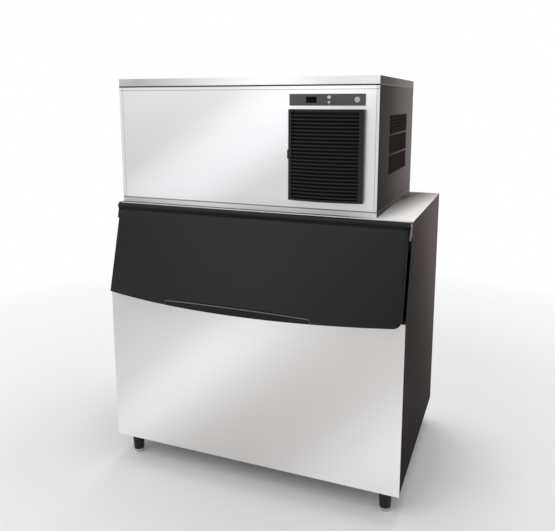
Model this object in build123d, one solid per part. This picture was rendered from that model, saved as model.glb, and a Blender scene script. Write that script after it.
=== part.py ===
from build123d import *
import math
import os

# Modular ice cube machine: an ice-making head standing on an insulated storage bin.
# Millimetres. X to the machine's right as seen from its front, Y to the rear, Z up.
# The pieces are drawn with y = 0 at the bin's front panel and z = 0 at the floor. They are
# written out with the origin at the middle of the footprint.

# How far a cut runs past what it cuts
PAST = 1.0

# Storage bin
BIN_W = 1219.0
BIN_D = 820.0
BIN_H = 1010.0
KINK_H = 662.0
SLOPE_BACK = 89.0
SIDE_LIFT = 10.0
SHEET = 1.2
FLANGE_W = 12.0
HEADER_DROP = 58.0
BASE_T = 2.0
BASE_RIM = 8.0
RIM_GAP = 1.0
FRONT_RETURN = 24.0

# Insulated inside of the bin
WALL_T = 58.0
FLOOR_T = 60.0
CEILING_T = 42.0
LINER_T = 5.0
FRAME_T = 12.0
FRAME_SILL = 46.0
FRAME_HEAD = 66.0
LINER_CORNER_R = 30.0

# Legs
LEG_H = 100.0
LEG_TOP_R = 27.5
LEG_END_R = 21.5
LEG_PLATE = 74.0
LEG_PLATE_T = 3.0
LEG_PLATE_R = 9.0
LEG_IN_X = 61.5
LEG_IN_Y = 60.0
FOOT_H = 16.0
FOOT_R = 18.0
FOOT_GAP = 1.0
FOOT_EDGE_R = 2.0
STEM_R = 8.0
STEM_L = 55.0
STEM_ROOM = 3.0
STEM_FIT = 0.1

# Bin door
DOOR_SIDE_GAP = 9.5
DOOR_BOTTOM = 655.0
DOOR_TOP_GAP = 27.0
DOOR_BACK_GAP = 6.0
DOOR_END_T = 22.0
DOOR_TOP_T = 17.0
DOOR_BOW = 92.0
DOOR_TOP_BOW = 5.0
DOOR_EDGE_R = 14.0
DOOR_EDGE_LIMIT = 0.75
DOOR_CORNER_R = 26.0
DOOR_WALL = 3.5
GRIP_W = 590.0
GRIP_H = 30.0
GRIP_END_H = 18.0
GRIP_CORNER_R = 9.0
GRIP_EDGE_R = 3.0
GRIP_POCKET_IN = 20.0
GRIP_LIP = 5.0
GRIP_DEEP = 34.0
GRIP_NOTCH_H = 12.0
GRIP_HOOK = 22.0
GRIP_HOOK_H = 34.0
INNER_T = 2.5
INNER_FIELD_T = 4.0
GASKET_W = 14.0
GASKET_SQUEEZE = 0.5
GASKET_IN = 18.0
FIELD_GAP = 2.0

# Door hinge
BARREL_R = 12.5
BARREL_OVER = 4.0
BARREL_OUT = 14.5
BARREL_WEB = 14.0
PIN_R = 4.0
PIN_FIT = 0.08
PIN_IN = 34.0
PIN_OUT = 1.0
EAR_T = 2.5
EAR_GAP = 0.6
EYE_R = 8.0
BRACKET_FOOT_L = 38.0
BRACKET_UP = 6.0
BRACKET_FOOT_T = 2.0

# Ice-making head
HEAD_W = 1084.0
HEAD_D = 710.0
HEAD_H = 505.0
RAIL_H = 19.0
LID_SKIRT = 29.0
SEAM = 1.0
JOGGLE_H = 14.0
STRIP_LEFT = 15.0
STRIP_RIGHT = 10.0
PANEL_RETURN = 14.0

# Control panel, set in from the head's right side and down from its top
CONTROL_W = 286.0
CONTROL_H = 42.0
CONTROL_T = 3.0
CONTROL_RIGHT = 49.5
CONTROL_DROP = 63.0
CONTROL_EDGE_R = 2.0
DISPLAY_W = 40.0
DISPLAY_H = 22.0
DISPLAY_IN = 65.0
LAMP_IN = 152.0
LAMP_R = 6.5
LAMP_SMALL_R = 4.6
LAMP_PITCH = 18.0
DISC_R = 10.0
DISC_IN = 30.0
TRIM_PROUD = 0.8

# Bowed louvre grille
GRILLE_W = 284.0
GRILLE_H = 336.0
GRILLE_GAP = 13.0
GRILLE_SIDE = 20.0
GRILLE_BOW = 18.0
GRILLE_POST_L = 12.0
GRILLE_POST_R = 16.0
GRILLE_CAP = 8.0
SLAT_COUNT = 23
SLAT_DEPTH = 9.0
SLAT_T = 3.0
SLAT_DROP = 7.0
SLAT_IN = 1.0

# Air filter
FILTER_T = 6.0
FILTER_FIT = 0.5
FILTER_BACK_GAP = 1.4
FILTER_RIM = 10.0
FILTER_RIB = 4.0
FILTER_MESH_T = 1.0
FILTER_UPRIGHT_COUNT = 3
FILTER_BAR_COUNT = 3
TAB_OUT = 9.0
TAB_H = 36.0
TAB_UP = 152.0

# Side vents
VENT_W = 349.0
VENT_FRONT = 197.0
VENT_DROP = 143.0
VENT_BANK_COUNT = 3
VENT_BANK_H = 70.0
VENT_BAR = 8.0
VENT_SLOT_COUNT = 6
VENT_SLOT_H = 6.5

# Ice drop, measured from the head's left side and front
DROP_LEFT = 70.0
DROP_W = 580.0
DROP_FRONT = 40.0
DROP_D = 190.0

# Inside of the head
PARTITION_RIGHT = 374.0
COIL_D = 50.0
COIL_W = 266.0
COIL_H = 330.0
COIL_FIN_COUNT = 12
COIL_FRONT_GAP = 12.0
COIL_LIFT = 12.0
SHROUD_T = 12.0
FAN_R = 112.0
FAN_FIT = 4.0
FAN_HUB_R = 30.0
FAN_T = 22.0
FAN_BLADE_COUNT = 5
FAN_BLADE_T = 2.0
FAN_PITCH_DEGREES = 28.0
FAN_FILL_SHARE = 0.8
SHAFT_R = 4.0
SHAFT_FIT = 0.08
MOTOR_R = 40.0
MOTOR_L = 66.0
MOTOR_EDGE_R = 6.5
MOTOR_GAP = 8.0
BRACKET_BAR = 22.0
BRACKET_T = 4.0
COMPRESSOR_R = 86.0
COMPRESSOR_H = 215.0
COMPRESSOR_SIDE_GAP = 43.0
COMPRESSOR_REAR_GAP = 51.6
DOME_SHARE = 0.6
GROMMET_R = 14.0
GROMMET_H = 12.0
GROMMET_REACH = 104.0
RECEIVER_R = 38.0
RECEIVER_H = 200.0
RECEIVER_SIDE_GAP = 19.0
RECEIVER_FRONT_GAP = 57.0
DRIER_R = 20.0
DRIER_H = 140.0
DRIER_REAR_IN = 95.0
LINE_R = 5.0
LINE_BEND = 25.0
EVAP_W = 500.0
EVAP_H = 240.0
EVAP_T = 26.0
EVAP_PLATE_T = 3.0
EVAP_COLUMN_COUNT = 12
EVAP_ROW_COUNT = 6
EVAP_WALL = 2.0
EVAP_GAP = 44.0
EVAP_CLEAR = 100.0
EVAP_CARRY = 10.0
SUMP_H = 70.0
SUMP_W = 520.0
SUMP_D = 300.0
SUMP_WALL = 3.0
SUMP_GAP = 15.0
PUMP_R = 36.0
PUMP_H = 130.0
PUMP_ARM = 16.0
FLOAT_R = 16.0
FLOAT_H = 18.0
FLOAT_STEM_R = 3.0
FLOAT_FIT = 0.1
FLOAT_TRAVEL = 25.0
FLOAT_STOP_R = 8.0
FLOAT_STOP_T = 3.0
FLOAT_STEM_OVER = 32.0
FLOAT_IN_X = 64.0
FLOAT_IN_Y = 32.0
CURTAIN_T = 3.0
CURTAIN_PIN_R = 3.0
CURTAIN_PIN_FIT = 0.1
CURTAIN_SIDE_GAP = 1.0
CURTAIN_GAP = 16.0
SPREADER_R = 12.0
SPREADER_WALL = 3.0
GUIDE_T = 3.0
GUIDE_LIP = 9.0
GUIDE_SLOT_COUNT = 9
GUIDE_SLOT_SHARE = 0.5
GUIDE_SLOT_FRONT = 75.0
GUIDE_SLOT_REAR = 37.5
VALVE_SIZE = 36.0
VALVE_COIL_R = 14.4

# Fittings at the rear
REAR_PROUD = 8.0
DRAIN_R = 18.0
DRAIN_BORE_R = 13.4
DRAIN_SOCKET_L = 30.0
DRAIN_PIPE_R = 14.0
DRAIN_PIPE_BORE_R = 11.0
DRAIN_UP = 1.0
INLET_R = 11.0
INLET_BORE_R = 5.0
GLAND_R = 13.0
GLAND_BORE_R = 6.5
GLAND_IN = 4.8
SCREW_R = 4.0
SCREW_H = 2.2
SCREW_EDGE = 0.7
SCREW_IN = 15.0
SCREW_IN_X = 30.0

# Places worked out from the sizes above
Z_BIN = LEG_H
Z_SIDE = Z_BIN + SIDE_LIFT
Z_KINK = Z_BIN + KINK_H
Z_TOP = Z_BIN + BIN_H
Z_FLOOR = Z_SIDE + BASE_T
Z_HEAD = Z_TOP + HEAD_H
Z_PAN = Z_TOP + RAIL_H
BIN_X = BIN_W / 2
SLOPE_ANGLE = math.atan2(SLOPE_BACK - SHEET, Z_TOP - Z_KINK)
SLOPE_L = math.hypot(SLOPE_BACK - SHEET, Z_TOP - Z_KINK)
SLOPE = Plane(origin=(0, SHEET, Z_KINK), x_dir=(1, 0, 0),
              z_dir=(0, -math.cos(SLOPE_ANGLE), math.sin(SLOPE_ANGLE)))
LINER_X = BIN_X - SHEET - WALL_T
OPEN_X = LINER_X - LINER_T
LINER_FRONT = SHEET + WALL_T
LINER_BACK = BIN_D - SHEET - WALL_T
LINER_FLOOR = Z_FLOOR + FLOOR_T
LINER_CEILING = Z_TOP - SHEET - CEILING_T

HEAD_LEFT = -BIN_X
HEAD_RIGHT = HEAD_LEFT + HEAD_W
HEAD_FRONT = BIN_D - HEAD_D
HEAD_REAR = BIN_D
Z_PANEL_LOW = Z_PAN + SEAM
Z_PANEL_HIGH = Z_HEAD - LID_SKIRT - SEAM
PANEL_LEFT = HEAD_LEFT + STRIP_LEFT + SEAM
PANEL_RIGHT = HEAD_RIGHT - STRIP_RIGHT - SEAM
DROP_X0 = HEAD_LEFT + DROP_LEFT
DROP_X1 = DROP_X0 + DROP_W
DROP_Y0 = HEAD_FRONT + DROP_FRONT
DROP_Y1 = DROP_Y0 + DROP_D
PARTITION_X = HEAD_RIGHT - PARTITION_RIGHT

CONTROL_X1 = HEAD_RIGHT - CONTROL_RIGHT
CONTROL_X0 = CONTROL_X1 - CONTROL_W
CONTROL_Z1 = Z_HEAD - CONTROL_DROP
CONTROL_Z0 = CONTROL_Z1 - CONTROL_H
CONTROL_ZC = (CONTROL_Z0 + CONTROL_Z1) / 2
CONTROL_FACE = HEAD_FRONT - CONTROL_T
GRILLE_X1 = CONTROL_X1
GRILLE_X0 = GRILLE_X1 - GRILLE_W
GRILLE_XC = (GRILLE_X0 + GRILLE_X1) / 2
GRILLE_Z1 = CONTROL_Z0 - GRILLE_GAP
GRILLE_Z0 = GRILLE_Z1 - GRILLE_H
GRILLE_ARC_R = ((GRILLE_W / 2) ** 2 + GRILLE_BOW ** 2) / (2 * GRILLE_BOW)
GRILLE_ARC_Y = HEAD_FRONT - GRILLE_SIDE - GRILLE_BOW + GRILLE_ARC_R
FILTER_Y1 = HEAD_FRONT - FILTER_BACK_GAP
FILTER_Y0 = FILTER_Y1 - FILTER_T
FILTER_Z0 = GRILLE_Z0 + GRILLE_CAP + FILTER_FIT
FILTER_Z1 = GRILLE_Z1 - GRILLE_CAP - FILTER_FIT

DOOR_W = BIN_W - 2 * DOOR_SIDE_GAP
DOOR_BOW_R = ((DOOR_W / 2) ** 2 + DOOR_BOW ** 2) / (2 * DOOR_BOW)
Z_BARREL = Z_TOP - BARREL_R
Z_DOOR_LOW = Z_BIN + DOOR_BOTTOM
Z_DOOR_HIGH = Z_TOP - DOOR_TOP_GAP
BARREL_HALF = DOOR_W / 2 + BARREL_OVER

COIL_Y0 = HEAD_FRONT + COIL_FRONT_GAP
COIL_Z0 = Z_PAN + COIL_LIFT
SHROUD_Y0 = COIL_Y0 + COIL_D
FAN_Y0 = SHROUD_Y0 + FAN_FIT
FAN_Z = COIL_Z0 + COIL_H / 2
MOTOR_Y0 = FAN_Y0 + FAN_T + MOTOR_GAP
EVAP_XC = DROP_X0 + DROP_W / 2
EVAP_Z0 = Z_PAN + SUMP_H + EVAP_CLEAR
EVAP_Z1 = EVAP_Z0 + EVAP_H
SUMP_Y0 = DROP_Y1 + SUMP_GAP
SUMP_Y1 = SUMP_Y0 + SUMP_D
SUMP_X0 = DROP_X0
SUMP_X1 = SUMP_X0 + SUMP_W
EVAP_Y0 = SUMP_Y0 + EVAP_GAP


def slope_y(z):
    """Depth of the bin's sloping front at a height."""
    return SHEET + (z - Z_KINK) * math.tan(SLOPE_ANGLE)


BARREL_Y = slope_y(Z_BARREL) - BARREL_OUT


def block(x0, x1, y0, y1, z0, z1):
    """A box between two opposite corners."""
    return Pos((x0 + x1) / 2, (y0 + y1) / 2, (z0 + z1) / 2) * Box(x1 - x0, y1 - y0, z1 - z0)


def rod(radius, start, direction, length):
    """A round bar from its start point along a direction."""
    return extrude(Plane(origin=start, z_dir=direction) * Circle(radius), length)


def side_prism(points, x0, x1):
    """A closed outline of (y, z) points, pulled from x0 to x1."""
    face = make_face(Polyline(*points, close=True))
    return extrude(Plane(origin=(x0, 0, 0), x_dir=(0, 1, 0), z_dir=(1, 0, 0)) * face, x1 - x0)


def slope_block(x0, x1, u0, u1, n0, n1):
    """A box lying on the bin's sloping front: u runs up the slope and n points out of it."""
    return SLOPE * block(x0, x1, u0, u1, n0, n1)


def slope_ring(half_x, u0, u1, width, n0, n1):
    """A rectangular ring lying on the bin's sloping front."""
    ring = slope_block(-half_x, half_x, u0, u1, n0, n1)
    hole = slope_block(-half_x + width, half_x - width, u0 + width, u1 - width, n0 - PAST, n1 + PAST)
    return ring - hole


# Storage bin

def bin_outline(inset, low):
    """The bin's side outline, moved inwards by a sheet or none, down to a lower level."""
    shift = inset / math.cos(SLOPE_ANGLE)
    top = Z_TOP - SHEET
    return [
        (SHEET + inset, low),
        (SHEET + inset, Z_KINK),
        (slope_y(top) + shift, top),
        (BIN_D - 2 * inset, top),
        (BIN_D - 2 * inset, low),
    ]


def bin_side_panel(side):
    """One side sheet with its folded front, slope and rear flanges."""
    outer = side * BIN_X
    inner = side * (BIN_X - SHEET)
    edge = side * (BIN_X - FLANGE_W)
    x0, x1 = sorted((outer, inner))
    f0, f1 = sorted((inner, edge))
    panel = side_prism(bin_outline(0, Z_SIDE), x0, x1)
    panel += block(f0, f1, SHEET, 2 * SHEET, Z_SIDE, Z_KINK)
    panel += slope_block(f0, f1, 0, SLOPE_L - HEADER_DROP, -SHEET, 0)
    panel += block(f0, f1, BIN_D - 2 * SHEET, BIN_D - SHEET, Z_SIDE + BASE_T, Z_TOP - SHEET)
    return panel


def bin_front_panel():
    """The plain lower front sheet, with its bottom edge folded back."""
    points = [(FRONT_RETURN, Z_BIN), (0, Z_BIN), (0, Z_KINK)]
    line = FilletPolyline(*points, radius=2 * SHEET)
    face = make_face(offset(line, amount=SHEET, side=Side.RIGHT, kind=Kind.INTERSECTION))
    plane = Plane(origin=(-BIN_X, 0, 0), x_dir=(0, 1, 0), z_dir=(1, 0, 0))
    return extrude(plane * face, BIN_W)


def bin_back_panel():
    """The rear sheet, let in between the sides, with the drain's hole."""
    half = BIN_X - SHEET
    panel = block(-half, half, BIN_D - SHEET, BIN_D, Z_SIDE, Z_TOP - SHEET)
    return panel - drain_line(DRAIN_PIPE_R, DRAIN_R)


def bin_top_panel():
    """The top sheet with the ice drop's opening, folded down over the slope's head."""
    panel = block(-BIN_X, BIN_X, slope_y(Z_TOP), BIN_D, Z_TOP - SHEET, Z_TOP)
    half = BIN_X - SHEET
    panel += slope_block(-half, half, SLOPE_L - HEADER_DROP, SLOPE_L - SHEET / 2, -SHEET, 0)
    return panel - ice_drop(Z_TOP - SHEET - PAST, Z_TOP + PAST)


def bin_base():
    """The base tray under the insulation, rim down."""
    half = BIN_X - SHEET
    y0 = 2 * SHEET
    y1 = BIN_D - SHEET
    tray = block(-half, half, y0, y1, Z_SIDE, Z_FLOOR)
    rim = block(-half, half, y0, y1, Z_SIDE - BASE_RIM, Z_SIDE)
    rim -= block(-half + SHEET, half - SHEET, y0 + SHEET, y1 - SHEET, Z_SIDE - BASE_RIM - PAST, Z_SIDE)
    rim -= block(-half, half, y0, FRONT_RETURN + RIM_GAP, Z_SIDE - BASE_RIM, Z_SIDE)
    return tray + rim


def liner_outline(grow):
    """The ice store's side outline, moved outwards by a wall."""
    depth = FRAME_T + LINER_T - grow
    sill_z = Z_KINK + FRAME_SILL * math.cos(SLOPE_ANGLE)
    shift = depth / math.cos(SLOPE_ANGLE)
    front = LINER_FRONT + LINER_T - grow
    low = LINER_FLOOR + LINER_T - grow
    high = LINER_CEILING - LINER_T + grow
    back = LINER_BACK - LINER_T + grow
    turn_z = max(sill_z, Z_KINK + (front - SHEET - shift) / math.tan(SLOPE_ANGLE))
    return [
        (front, low),
        (front, turn_z),
        (slope_y(high) + shift, high),
        (back, high),
        (back, low),
    ]


def liner_space(grow):
    """The ice store as a solid, moved outwards by a wall, with rounded floor corners."""
    half = OPEN_X + grow
    space = side_prism(liner_outline(grow), -half, half)
    floor = space.faces().sort_by(Axis.Z)[0]
    return fillet(floor.edges(), LINER_CORNER_R + grow)


def door_way():
    """The way in through the sloping front."""
    u1 = SLOPE_L - FRAME_HEAD
    return slope_block(-OPEN_X, OPEN_X, FRAME_SILL, u1, -WALL_T - FRAME_T, PAST)


def ice_drop(low, high):
    """The ice drop's shaft between two levels."""
    return block(DROP_X0, DROP_X1, DROP_Y0, DROP_Y1, low, high)


def bin_liner():
    """The moulded tub of the ice store, open at the door and under the head."""
    tub = liner_space(LINER_T) - liner_space(0)
    tub -= door_way()
    tub -= ice_drop(LINER_CEILING - LINER_T - PAST, Z_TOP)
    return tub - drain_line(DRAIN_PIPE_R, DRAIN_R)


def bin_insulation():
    """The foam between the tub and the sheets."""
    half = BIN_X - SHEET
    foam = side_prism(bin_outline(SHEET, Z_FLOOR), -half, half)
    foam -= liner_space(LINER_T)
    foam -= slope_block(-BIN_W, BIN_W, -FRAME_T, SLOPE_L + FRAME_T, -FRAME_T, WALL_T)
    foam -= door_way()
    foam -= ice_drop(LINER_CEILING - LINER_T, Z_TOP)
    return foam - drain_line(DRAIN_PIPE_R, DRAIN_R)


def opening_frame():
    """The moulded frame round the bin's opening, which the door's seal lies on."""
    half = BIN_X - FLANGE_W
    frame = slope_block(-half, half, 0, SLOPE_L - HEADER_DROP, -FRAME_T, 0)
    return frame - door_way()


def drain_z():
    """Height of the drain's middle, just over the tub's floor."""
    return LINER_FLOOR + LINER_T + DRAIN_PIPE_BORE_R + DRAIN_UP


def drain_line(pipe_r, socket_r):
    """The drain's way from the tub's rounded rear corner, with its wider socket at the rear."""
    start = LINER_BACK - LINER_T - LINER_CORNER_R
    rear = BIN_D + REAR_PROUD
    line = rod(pipe_r, (0, start, drain_z()), (0, 1, 0), rear - start)
    return line + rod(socket_r, (0, rear - DRAIN_SOCKET_L, drain_z()), (0, 1, 0), DRAIN_SOCKET_L)


def drain_outlet():
    """The drain's pipe, flush with the tub's inside, and its socket for the drain hose."""
    outlet = drain_line(DRAIN_PIPE_R, DRAIN_R) - drain_line(DRAIN_PIPE_BORE_R, DRAIN_BORE_R)
    return outlet - liner_space(0)


# Legs

def leg_places():
    """Name and place of each leg."""
    xs = (("left", -BIN_X + LEG_IN_X), ("right", BIN_X - LEG_IN_X))
    ys = (("front", LEG_IN_Y), ("rear", BIN_D - LEG_IN_Y))
    return [(f"{fore}_{side}", x, y) for fore, y in ys for side, x in xs]


def leg(x, y):
    """A tapered leg under its fixing plate, bored for the foot's stem."""
    low = FOOT_H + FOOT_GAP
    high = Z_SIDE - LEG_PLATE_T
    plate = block(x - LEG_PLATE / 2, x + LEG_PLATE / 2, y - LEG_PLATE / 2, y + LEG_PLATE / 2, high, Z_SIDE)
    plate = fillet(plate.edges().filter_by(Axis.Z), LEG_PLATE_R)
    taper = Pos(x, y, (low + high) / 2) * Cone(LEG_END_R, LEG_TOP_R, high - low)
    bore = rod(STEM_R + STEM_FIT, (x, y, low - PAST), (0, 0, 1), STEM_L + PAST + STEM_ROOM)
    return plate + taper - bore


def levelling_foot(x, y):
    """A steel foot on its stem."""
    pad = rod(FOOT_R, (x, y, 0), (0, 0, 1), FOOT_H)
    pad = chamfer(pad.edges().sort_by(Axis.Z)[0], FOOT_EDGE_R)
    return pad + rod(STEM_R, (x, y, FOOT_H), (0, 0, 1), STEM_L)


# Bin door

def bowed_outline(z, ends, bow, inset, behind=0.0):
    """A level section through the door: bowed at the front, and straight at the back or behind it."""
    back = slope_y(z) - DOOR_BACK_GAP / math.cos(SLOPE_ANGLE)
    side = DOOR_W / 2 - inset
    end_y = back - ends + inset
    front = end_y - bow
    rear = back + behind
    outline = [
        Line((-side, rear), (-side, end_y)),
        ThreePointArc((-side, end_y), (0, front), (side, end_y)),
        Line((side, end_y), (side, rear)),
        Line((side, rear), (-side, rear)),
    ]
    return Pos(0, 0, z) * make_face(outline)


def bowed_face(z, ends, bow, inset):
    """The level section with its two front corners rounded."""
    face = bowed_outline(z, ends, bow, inset)
    radius = min(DOOR_EDGE_R, DOOR_EDGE_LIMIT * ends) - inset
    return fillet(face.vertices().group_by(Axis.Y)[0], radius)


def door_body(inset):
    """The door's bulk between its lower and upper sections, less an inset all round."""
    low = bowed_face(Z_DOOR_LOW + inset, DOOR_END_T, DOOR_BOW, inset)
    high = bowed_face(Z_DOOR_HIGH - inset, DOOR_TOP_T, DOOR_TOP_BOW, inset)
    body = loft([low, high], ruled=True)
    return body - door_corner(-1, inset) - door_corner(1, inset)


def door_corner(side, inset):
    """What a large round lower corner takes off the door, seen from the front."""
    radius = DOOR_CORNER_R - inset
    x = side * (DOOR_W / 2 - inset - radius)
    z = Z_DOOR_LOW + inset + radius
    x0, x1 = sorted((x, side * DOOR_W))
    square = block(x0, x1, -BIN_D, BIN_D, Z_BIN, z)
    return square - rod(radius, (x, -BIN_D - PAST, z), (0, 1, 0), 2 * (BIN_D + PAST))


def bowed_prism(inset):
    """The door's lower section pulled straight up, with its front and back moved in by an inset."""
    face = bowed_outline(Z_DOOR_LOW - PAST, DOOR_END_T, DOOR_BOW, inset, inset)
    return extrude(face, PAST + GRIP_HOOK_H + 2 * DOOR_WALL)


def grip_ledge():
    """The ledge along the door's lower edge, upright in front and arched along its top."""
    half = GRIP_W / 2
    foot = Z_DOOR_LOW
    shoulder = foot + GRIP_END_H
    outline = [
        Line((-half, foot), (half, foot)),
        Line((half, foot), (half, shoulder)),
        ThreePointArc((half, shoulder), (0, foot + GRIP_H), (-half, shoulder)),
        Line((-half, shoulder), (-half, foot)),
    ]
    face = make_face(outline)
    face = fillet(face.vertices().group_by(Axis.Y)[-1], GRIP_CORNER_R)
    upright = Plane(origin=(0, 0, 0), x_dir=(1, 0, 0), z_dir=(0, -1, 0))
    ledge = extrude(upright * face, BIN_D, both=True) & bowed_prism(0)
    front = ledge.faces().sort_by(Axis.Y)[0]
    return fillet(front.edges().sort_by(Axis.Z)[1:], GRIP_EDGE_R)


def grip_block(low, high, wall=0.0):
    """The finger pocket's room between two heights over the door's lower edge, and a wall more."""
    half = GRIP_W / 2 - GRIP_POCKET_IN
    back = grip_front_y(half) + GRIP_LIP + GRIP_DEEP
    return block(-half - wall, half + wall, -BIN_D, back + wall, Z_DOOR_LOW + low, Z_DOOR_LOW + high + wall)


def grip_space():
    """The finger pocket in the door's lower edge: a notch, and a narrower step over it to hook into."""
    notch = grip_block(-PAST, GRIP_NOTCH_H) & bowed_prism(GRIP_LIP)
    hook = grip_block(GRIP_NOTCH_H, GRIP_HOOK_H) & bowed_prism(GRIP_HOOK) & door_body(DOOR_WALL)
    return notch + hook


def grip_front_y(x):
    """Depth of the door's lower front edge at a distance from its middle."""
    back = slope_y(Z_DOOR_LOW) - DOOR_BACK_GAP / math.cos(SLOPE_ANGLE)
    return back - DOOR_END_T - DOOR_BOW + DOOR_BOW_R - math.sqrt(DOOR_BOW_R ** 2 - x ** 2)


def door_cavity():
    """The room inside the door's moulding, which is solid round the finger pocket."""
    return door_body(DOOR_WALL) - grip_block(-PAST, GRIP_HOOK_H, DOOR_WALL)


def inner_plate_space():
    """The layer at the door's back that its inner panel fills."""
    return slope_block(-DOOR_W, DOOR_W, -BIN_H, BIN_H, DOOR_BACK_GAP, DOOR_BACK_GAP + INNER_T)


def door_outer_shell():
    """The bowed outer moulding with its ledge and finger pocket."""
    return door_body(0) + grip_ledge() - door_cavity() - grip_space()


def door_inner_panel():
    """The flat inner panel with its raised field inside the seal."""
    panel = door_cavity() & inner_plate_space()
    u0 = GASKET_IN + GASKET_W + FIELD_GAP
    u1 = SLOPE_L - DOOR_TOP_GAP - u0
    half = DOOR_W / 2 - u0
    field = slope_block(-half, half, u0, u1, DOOR_BACK_GAP - INNER_FIELD_T, DOOR_BACK_GAP)
    outwards = Axis(origin=SLOPE.origin, direction=SLOPE.z_dir)
    return panel + fillet(field.edges().filter_by(outwards), GASKET_W)


def door_core():
    """The foam inside the door."""
    return door_cavity() - inner_plate_space()


def door_gasket():
    """The seal round the door's inner panel."""
    half = DOOR_W / 2 - GASKET_IN
    u1 = SLOPE_L - DOOR_TOP_GAP - GASKET_IN
    return slope_ring(half, GASKET_IN, u1, GASKET_W, GASKET_SQUEEZE, DOOR_BACK_GAP)


def door_hinge_rail():
    """The round rail along the door's top edge, bored for the hinge pins."""
    rail = rod(BARREL_R, (-BARREL_HALF, BARREL_Y, Z_BARREL), (1, 0, 0), 2 * BARREL_HALF)
    rear = slope_y(Z_DOOR_HIGH) - DOOR_BACK_GAP / math.cos(SLOPE_ANGLE)
    half = DOOR_W / 2 - DOOR_EDGE_R
    rail += block(-half, half, rear - BARREL_WEB, rear, Z_DOOR_HIGH, Z_BARREL)
    for side in (-1, 1):
        start = (side * (BARREL_HALF - PIN_IN), BARREL_Y, Z_BARREL)
        rail -= rod(PIN_R, start, (side, 0, 0), PIN_IN + PAST)
    return rail


def door_hinge_pins():
    """The steel pins in the rail's two ends."""
    length = PIN_IN + EAR_GAP + EAR_T + PIN_OUT
    pins = []
    for side in (-1, 1):
        start = (side * (BARREL_HALF - PIN_IN), BARREL_Y, Z_BARREL)
        pins.append(rod(PIN_R, start, (side, 0, 0), length))
    return Compound(pins)


def door_hinge_brackets():
    """The two brackets on the bin's sloping flanges, each with an ear round its hinge pin."""
    return Compound([hinge_bracket(side) for side in (-1, 1)])


def hinge_bracket(side):
    """One bracket: a foot on the flange and an ear beside the rail's end."""
    ear_in = BARREL_HALF + EAR_GAP
    x0, x1 = sorted((side * ear_in, side * (ear_in + EAR_T)))
    f0, f1 = sorted((side * (BIN_X - FLANGE_W), side * ear_in))
    u0 = SLOPE_L - 2 * BARREL_R - BRACKET_UP - BRACKET_FOOT_L
    foot = slope_block(f0, f1, u0, u0 + BRACKET_FOOT_L, 0, BRACKET_FOOT_T)
    ear = slope_block(x0, x1, u0, SLOPE_L - SHEET, 0, BARREL_OUT)
    ear += rod(EYE_R, (x0, BARREL_Y, Z_BARREL), (1, 0, 0), EAR_T)
    hole = rod(PIN_R + PIN_FIT, (x0 - PAST, BARREL_Y, Z_BARREL), (1, 0, 0), EAR_T + 2 * PAST)
    return foot + ear - hole


# Head casing

def head_base_frame():
    """The base tray that the head stands on, with the ice drop's opening."""
    rail = block(HEAD_LEFT, HEAD_RIGHT, HEAD_FRONT, HEAD_REAR, Z_TOP, Z_PAN)
    rail -= block(HEAD_LEFT + SHEET, HEAD_RIGHT - SHEET, HEAD_FRONT + SHEET, HEAD_REAR - SHEET,
                  Z_TOP - PAST, Z_PAN - SHEET)
    return rail - ice_drop(Z_TOP - PAST, Z_PAN + PAST)


def head_front_panel():
    """The front sheet with its folded edges and its cut-outs for the controls and the grille."""
    panel = block(PANEL_LEFT, PANEL_RIGHT, HEAD_FRONT, HEAD_FRONT + SHEET, Z_PANEL_LOW, Z_PANEL_HIGH)
    for x0 in (PANEL_LEFT, PANEL_RIGHT - SHEET):
        panel += block(x0, x0 + SHEET, HEAD_FRONT, HEAD_FRONT + PANEL_RETURN, Z_PANEL_LOW, Z_PANEL_HIGH)
    panel += block(PANEL_LEFT, PANEL_RIGHT, HEAD_FRONT + SHEET, HEAD_FRONT + 2 * SHEET,
                   Z_PANEL_HIGH - JOGGLE_H, Z_HEAD - SHEET)
    rear = HEAD_FRONT + 2 * SHEET + PAST
    panel -= block(CONTROL_X0 + CONTROL_T, CONTROL_X1 - CONTROL_T, HEAD_FRONT - PAST, rear,
                   CONTROL_Z0 + CONTROL_T, CONTROL_Z1 - CONTROL_T)
    return panel - block(GRILLE_X0 + GRILLE_POST_L, GRILLE_X1 - GRILLE_POST_R, HEAD_FRONT - PAST,
                         rear, GRILLE_Z0 + GRILLE_CAP, GRILLE_Z1 - GRILLE_CAP)


def head_side_panel(side):
    """A side sheet with its front strip and a joggled upper edge under the cover."""
    outer = HEAD_RIGHT if side > 0 else HEAD_LEFT
    strip = STRIP_RIGHT if side > 0 else STRIP_LEFT
    x0, x1 = sorted((outer, outer - side * SHEET))
    s0, s1 = sorted((outer - side * SHEET, outer - side * strip))
    j0, j1 = sorted((outer - side * SHEET, outer - side * 2 * SHEET))
    rear = HEAD_REAR - SHEET
    panel = block(x0, x1, HEAD_FRONT, rear, Z_PANEL_LOW, Z_PANEL_HIGH)
    panel += block(s0, s1, HEAD_FRONT, HEAD_FRONT + SHEET, Z_PANEL_LOW, Z_PANEL_HIGH)
    panel += block(j0, j1, HEAD_FRONT + SHEET, rear, Z_PANEL_HIGH - JOGGLE_H, Z_HEAD - SHEET)
    return panel


def vent_slots():
    """The three banks of slots in the right side sheet."""
    y0 = HEAD_FRONT + VENT_FRONT
    pitch = (VENT_BANK_H + VENT_SLOT_H) / VENT_SLOT_COUNT
    slots = []
    for bank in range(VENT_BANK_COUNT):
        top = Z_HEAD - VENT_DROP - bank * (VENT_BANK_H + VENT_BAR)
        for slot in range(VENT_SLOT_COUNT):
            z1 = top - slot * pitch
            slots.append(block(HEAD_RIGHT - 2 * SHEET, HEAD_RIGHT + SHEET, y0, y0 + VENT_W,
                               z1 - VENT_SLOT_H, z1))
    return slots


def head_right_panel():
    """The right side sheet with its vents."""
    return head_side_panel(1) - vent_slots()


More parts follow.
